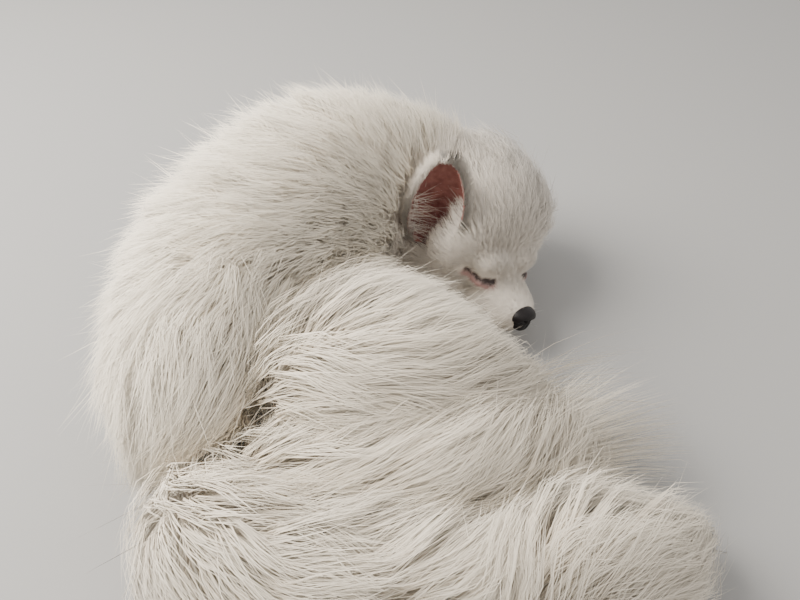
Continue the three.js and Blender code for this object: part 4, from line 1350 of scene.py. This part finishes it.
def ear_fur(side, form, angles, layers):
    """One piece of fur for an ear: on its back, on its edges and across its hollow."""
    outer, inner = layers
    pick = np.random.default_rng(EAR_FUR_SEED[side])

    def drawn(low, high, count):
        return pick.uniform(low, high, count)[:, None]

    row = pick.integers(2, STATIONS - 1, BACK_HAIRS)
    column = pick.integers(0, EAR_COLUMNS + 1, BACK_HAIRS)
    back = form.side[row] * np.cos(angles[column])[:, None] + form.top[row] * np.sin(angles[column])[:, None]
    back = unit(back)
    way = unit(form.heading[row] * 0.9 + back * drawn(0.25, 0.7, BACK_HAIRS))
    roots = outer[row, column] + form.heading[row] * drawn(-EAR_SCATTER, EAR_SCATTER, BACK_HAIRS)
    lengths = pick.uniform(0.6, 1.1, BACK_HAIRS) * EAR_BACK_LENGTH[side]
    on_back = (roots, way, back, lengths, -back * 0.15)

    row = pick.integers(1, STATIONS, EDGE_HAIRS)
    edge = np.where(pick.random(EDGE_HAIRS) < 0.5, 0, EAR_COLUMNS)
    outward = form.side[row] * np.where(edge == 0, -1.0, 1.0)[:, None]
    way = form.heading[row] * 0.6 + outward * drawn(0.1, 0.9, EDGE_HAIRS)
    way = unit(way + form.top[row] * drawn(0.1, 0.8, EDGE_HAIRS))
    scatter = form.heading[row] * drawn(-EAR_SCATTER, EAR_SCATTER, EDGE_HAIRS)
    inset = drawn(-0.0028, 0.001, EDGE_HAIRS) * -outward
    inset = inset + form.top[row] * drawn(-0.002, 0.0015, EDGE_HAIRS)
    roots = outer[row, edge] + scatter + inset
    facing = unit(outward * 0.9 + form.top[row] * 0.5)
    on_edge = (roots, way, facing, pick.uniform(0.005, 0.010, EDGE_HAIRS), -outward * 0.3)

    row = pick.integers(int(STATIONS * 0.08), int(STATIONS * 0.6), CROSSING_HAIRS)
    edge = np.where(pick.random(CROSSING_HAIRS) < 0.75, 1, EAR_COLUMNS - 1)
    across = -form.side[row] * np.where(edge == 1, -1.0, 1.0)[:, None]
    way = across * drawn(0.6, 1.1, CROSSING_HAIRS)
    way = unit(way + form.heading[row] * drawn(-0.2, 0.9, CROSSING_HAIRS))
    lengths = pick.uniform(0.012, 0.022, CROSSING_HAIRS)
    crossing = (inner[row, edge], way, form.top[row], lengths, form.top[row] * 0.15)

    parts = [np.concatenate(values) for values in zip(on_back, on_edge, crossing)]
    path, outs = straight_hairs(*parts, rings=1)
    width = np.repeat(EAR_HAIR_WIDTHS, (BACK_HAIRS, EDGE_HAIRS, CROSSING_HAIRS))
    width = width * pick.uniform(0.7, 1.2, len(width))
    tone = own_tones(pick, len(width))
    # The ear fur takes the short face hair, with its painted shade.
    make_coat("coat_ear_" + side, path, outs, width, width * 0.7, TAPER_1, tone, face_painted_shade_material, "short_fur")


for side, (path, opening) in EARS.items():
    ear_fur(side, *make_ear(side, path, opening))

# Nose: dark, moist, pebbled leather with two comma-shaped nostrils and a groove down its middle.
# It is one closed piece that sits on the end of the muzzle.
NOSE_VOXEL = 0.00035
NOSE_SMOOTHING = 5
NOSE_CORE = np.array([4.95, 0, -0.95])
NOSE_GROOVE = [(5.7, 0, -0.7), (5.62, 0, -1.3), (5.4, 0, -1.78)]
NOSE_DARK = (0.004, 0.003, 0.0035)
NOSE_PALE = (0.016, 0.012, 0.0125)
NOSE_ROUGHNESS = 0.45
NOSE_SHINE = 0.3

nose_forms = [egg((5.05, 0, -0.8), (0.62, 0.92, 0.6)), egg((5.0, 0, -1.15), (0.62, 0.6, 0.64))]
nose = mesh_piece("nose_leather", *merged(nose_forms))
close_surface(nose, NOSE_VOXEL)
nose_edges = read(nose.data.edges, "vertices", 2, int)
local = in_head(smoothed(read(nose.data.vertices, "co", 3), nose_edges, NOSE_SMOOTHING))
sink = near_line(local, NOSE_GROOVE, most=0.05, width=0.05)
for side in SIDES:
    nostril = [(5.62, side * 0.34, -0.86), (5.48, side * 0.52, -0.99), (5.15, side * 0.84, -1.12)]
    sink += near_line(local, nostril[:2], most=0.22, width=0.13)
    sink += near_line(local, nostril[1:], most=0.10, width=0.08)
local += unit(NOSE_CORE - local) * sink[:, None]
nose.data.vertices.foreach_set("co", from_head(local).ravel())
nose.data.update()
nose.data.shade_smooth()

nose_material, tree, shader = new_material("nose_leather", NOSE_ROUGHNESS)
shader.inputs["Specular IOR Level"].default_value = NOSE_SHINE
pebbles = texture(tree, "ShaderNodeTexVoronoi", Scale=1500.0).outputs["Distance"]
tree.links.new(mixed(tree, pebbles, NOSE_DARK, NOSE_PALE), shader.inputs["Base Color"])
raise_grain(tree, shader, pebbles, strength=0.4, depth=0.0002)
nose.data.materials.clear()
nose.data.materials.append(nose_material)
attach(nose, "root")
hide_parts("nose")

# Eyes: dark moist eyeballs behind the closed lids, where the solids have them.
# Along each slit stands a row of short dark lashes that point down and outwards.
EYE_DARK = (0.015, 0.01, 0.01, 1)
EYE_PALE = (0.07, 0.03, 0.02, 1)
EYE_ROUGHNESS = 0.12
LASH_COUNT = 46
LASH_ROOT = (0.02, 0.014, 0.013)
LASH_TIP = (0.05, 0.035, 0.03)
LASH_ROUGHNESS = 0.5
LASH_SCATTER = 0.0002
LASH_DEPTH = 0.0003
LASH_WIDTH = 0.00012


def mottled_material(name, roughness, dark, pale, scale):
    material, tree, shader = new_material(name, roughness)
    grain = place_group(tree, mottle, Dark=dark, Pale=pale, Scale=scale, Detail=2.0)
    tree.links.new(grain.outputs["Color"], shader.inputs["Base Color"])
    return material


eye_material = mottled_material("eye", EYE_ROUGHNESS, EYE_DARK, EYE_PALE, scale=400.0)
for side in ("right", "left"):
    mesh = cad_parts["eye_" + side].data
    mesh.materials.clear()
    mesh.materials.append(eye_material)


def skin_near(place):
    """The skin's place and direction nearest to a place in the head's frame, in metres."""
    near, normal, _, _ = skin_tree.find_nearest(HEAD @ Vector(place))
    return near, normal


lash_material = hair_material("lash", LASH_ROOT, LASH_TIP, LASH_ROUGHNESS, patchiness=0.0)
pick = np.random.default_rng(90)
lashes = []
for side in SIDES:
    line = slits[side]
    slant = (head_turn.to_3x3() @ Vector((0.30, -side * 0.45, -0.55))).normalized()
    for share in np.linspace(0, len(line) - 1.001, LASH_COUNT):
        first = int(share)
        place = line[first] + (line[first + 1] - line[first]) * (share - first)
        near, normal = skin_near(place * CM + pick.normal(0, LASH_SCATTER, 3))
        way = (slant + normal * pick.uniform(0.1, 0.5)).normalized()
        lashes.append((near - normal * LASH_DEPTH, way, normal))
roots, ways, outs = (np.array(values) for values in zip(*lashes))
lengths = pick.uniform(0.0014, 0.0030, len(roots))
path, outs = straight_hairs(roots, ways, outs, lengths, outs * 0.3, rings=2)
width = np.full(len(roots), LASH_WIDTH)
make_coat("lashes", path, outs, width, width, TAPER_2, np.ones(len(roots)), lash_material, "eye")

# Whiskers: a few long stiff pale hairs that grow in three rows from each side of the muzzle.
# They point back and outwards, and hang a little towards the floor.
WHISKERS_A_SIDE = 9
WHISKER_ROOT = (0.92, 0.90, 0.86)
WHISKER_TIP = (0.96, 0.95, 0.92)
WHISKER_ROUGHNESS = 0.4
WHISKER_DEPTH = 0.0005
WHISKER_WIDTH = 0.00011
WHISKER_SAG = (0, 0, -0.12)

whisker_material = hair_material("whisker", WHISKER_ROOT, WHISKER_TIP, WHISKER_ROUGHNESS, patchiness=0.0)
pick = np.random.default_rng(92)
whiskers = []
for side in SIDES:
    for index in range(WHISKERS_A_SIDE):
        row, column = divmod(index, 3)
        place = Vector((4.3 - 0.35 * column, side * (0.9 + 0.25 * column), -1.25 - 0.25 * row)) * CM
        near, normal = skin_near(place)
        back = head_turn.to_3x3() @ Vector((-0.25, side * 0.9, 0.1 - 0.12 * row))
        way = (back + normal * 0.5 + Vector(pick.normal(0, 0.08, 3))).normalized()
        whiskers.append((near - normal * WHISKER_DEPTH, way, normal))
roots, ways, outs = (np.array(values) for values in zip(*whiskers))
lengths = pick.uniform(0.018, 0.030, len(roots))
path, outs = straight_hairs(roots, ways, outs, lengths, WHISKER_SAG, rings=3)
path = eased_into_box(path)
width = np.full(len(roots), WHISKER_WIDTH)
make_coat("whiskers", path, outs, width, width, TAPER_3, np.ones(len(roots)), whisker_material, "short_fur")

# Claws: one short curved claw of pale horn at the end of each toe.
# Each is thickest at its root and ends in a point that rests on the floor.
CLAW_LENGTH = 0.006
CLAW_DROP = 0.003
CLAW_WIDTH = 0.0011
CLAW_POINT = 0.0001
CLAW_FLOOR = 0.0006
CLAW_DARK = (0.20, 0.14, 0.11, 1)
CLAW_PALE = (0.48, 0.38, 0.31, 1)
CLAW_ROUGHNESS = 0.35

claw_widths = [CLAW_WIDTH] * 4 + [CLAW_WIDTH * 0.8, CLAW_WIDTH * 0.5, CLAW_POINT]
claw_heights = [CLAW_WIDTH * 1.3] * 4 + [CLAW_WIDTH, CLAW_WIDTH * 0.6, CLAW_POINT]
claw_forms = []
for place, heading, length in PAWS.values():
    turn = paw_frame(place, heading)
    for toe in TOES:
        reach = length * (0.54 - TOE_DRAWN_BACK * abs(toe))
        root = Vector((reach, toe * length * TOE_SPACING, 0.05)) * CM
        curve = []
        for share in np.linspace(-0.3, 1, 7):
            ahead = Vector((CLAW_LENGTH * share, 0, -CLAW_DROP * share * share))
            curve.append(tuple(turn @ (root + ahead)))
        claw_forms.append(Form(np.array(curve), claw_widths, claw_heights))
claw_points, claw_faces = merged(claw_forms)
claw_points[:, 2] = np.maximum(claw_points[:, 2], CLAW_FLOOR)
claws = mesh_piece("claws", claw_points, claw_faces)
claws.data.shade_smooth()
claws.data.materials.append(mottled_material("claw", CLAW_ROUGHNESS, CLAW_DARK, CLAW_PALE, scale=700.0))
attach(claws, "root")
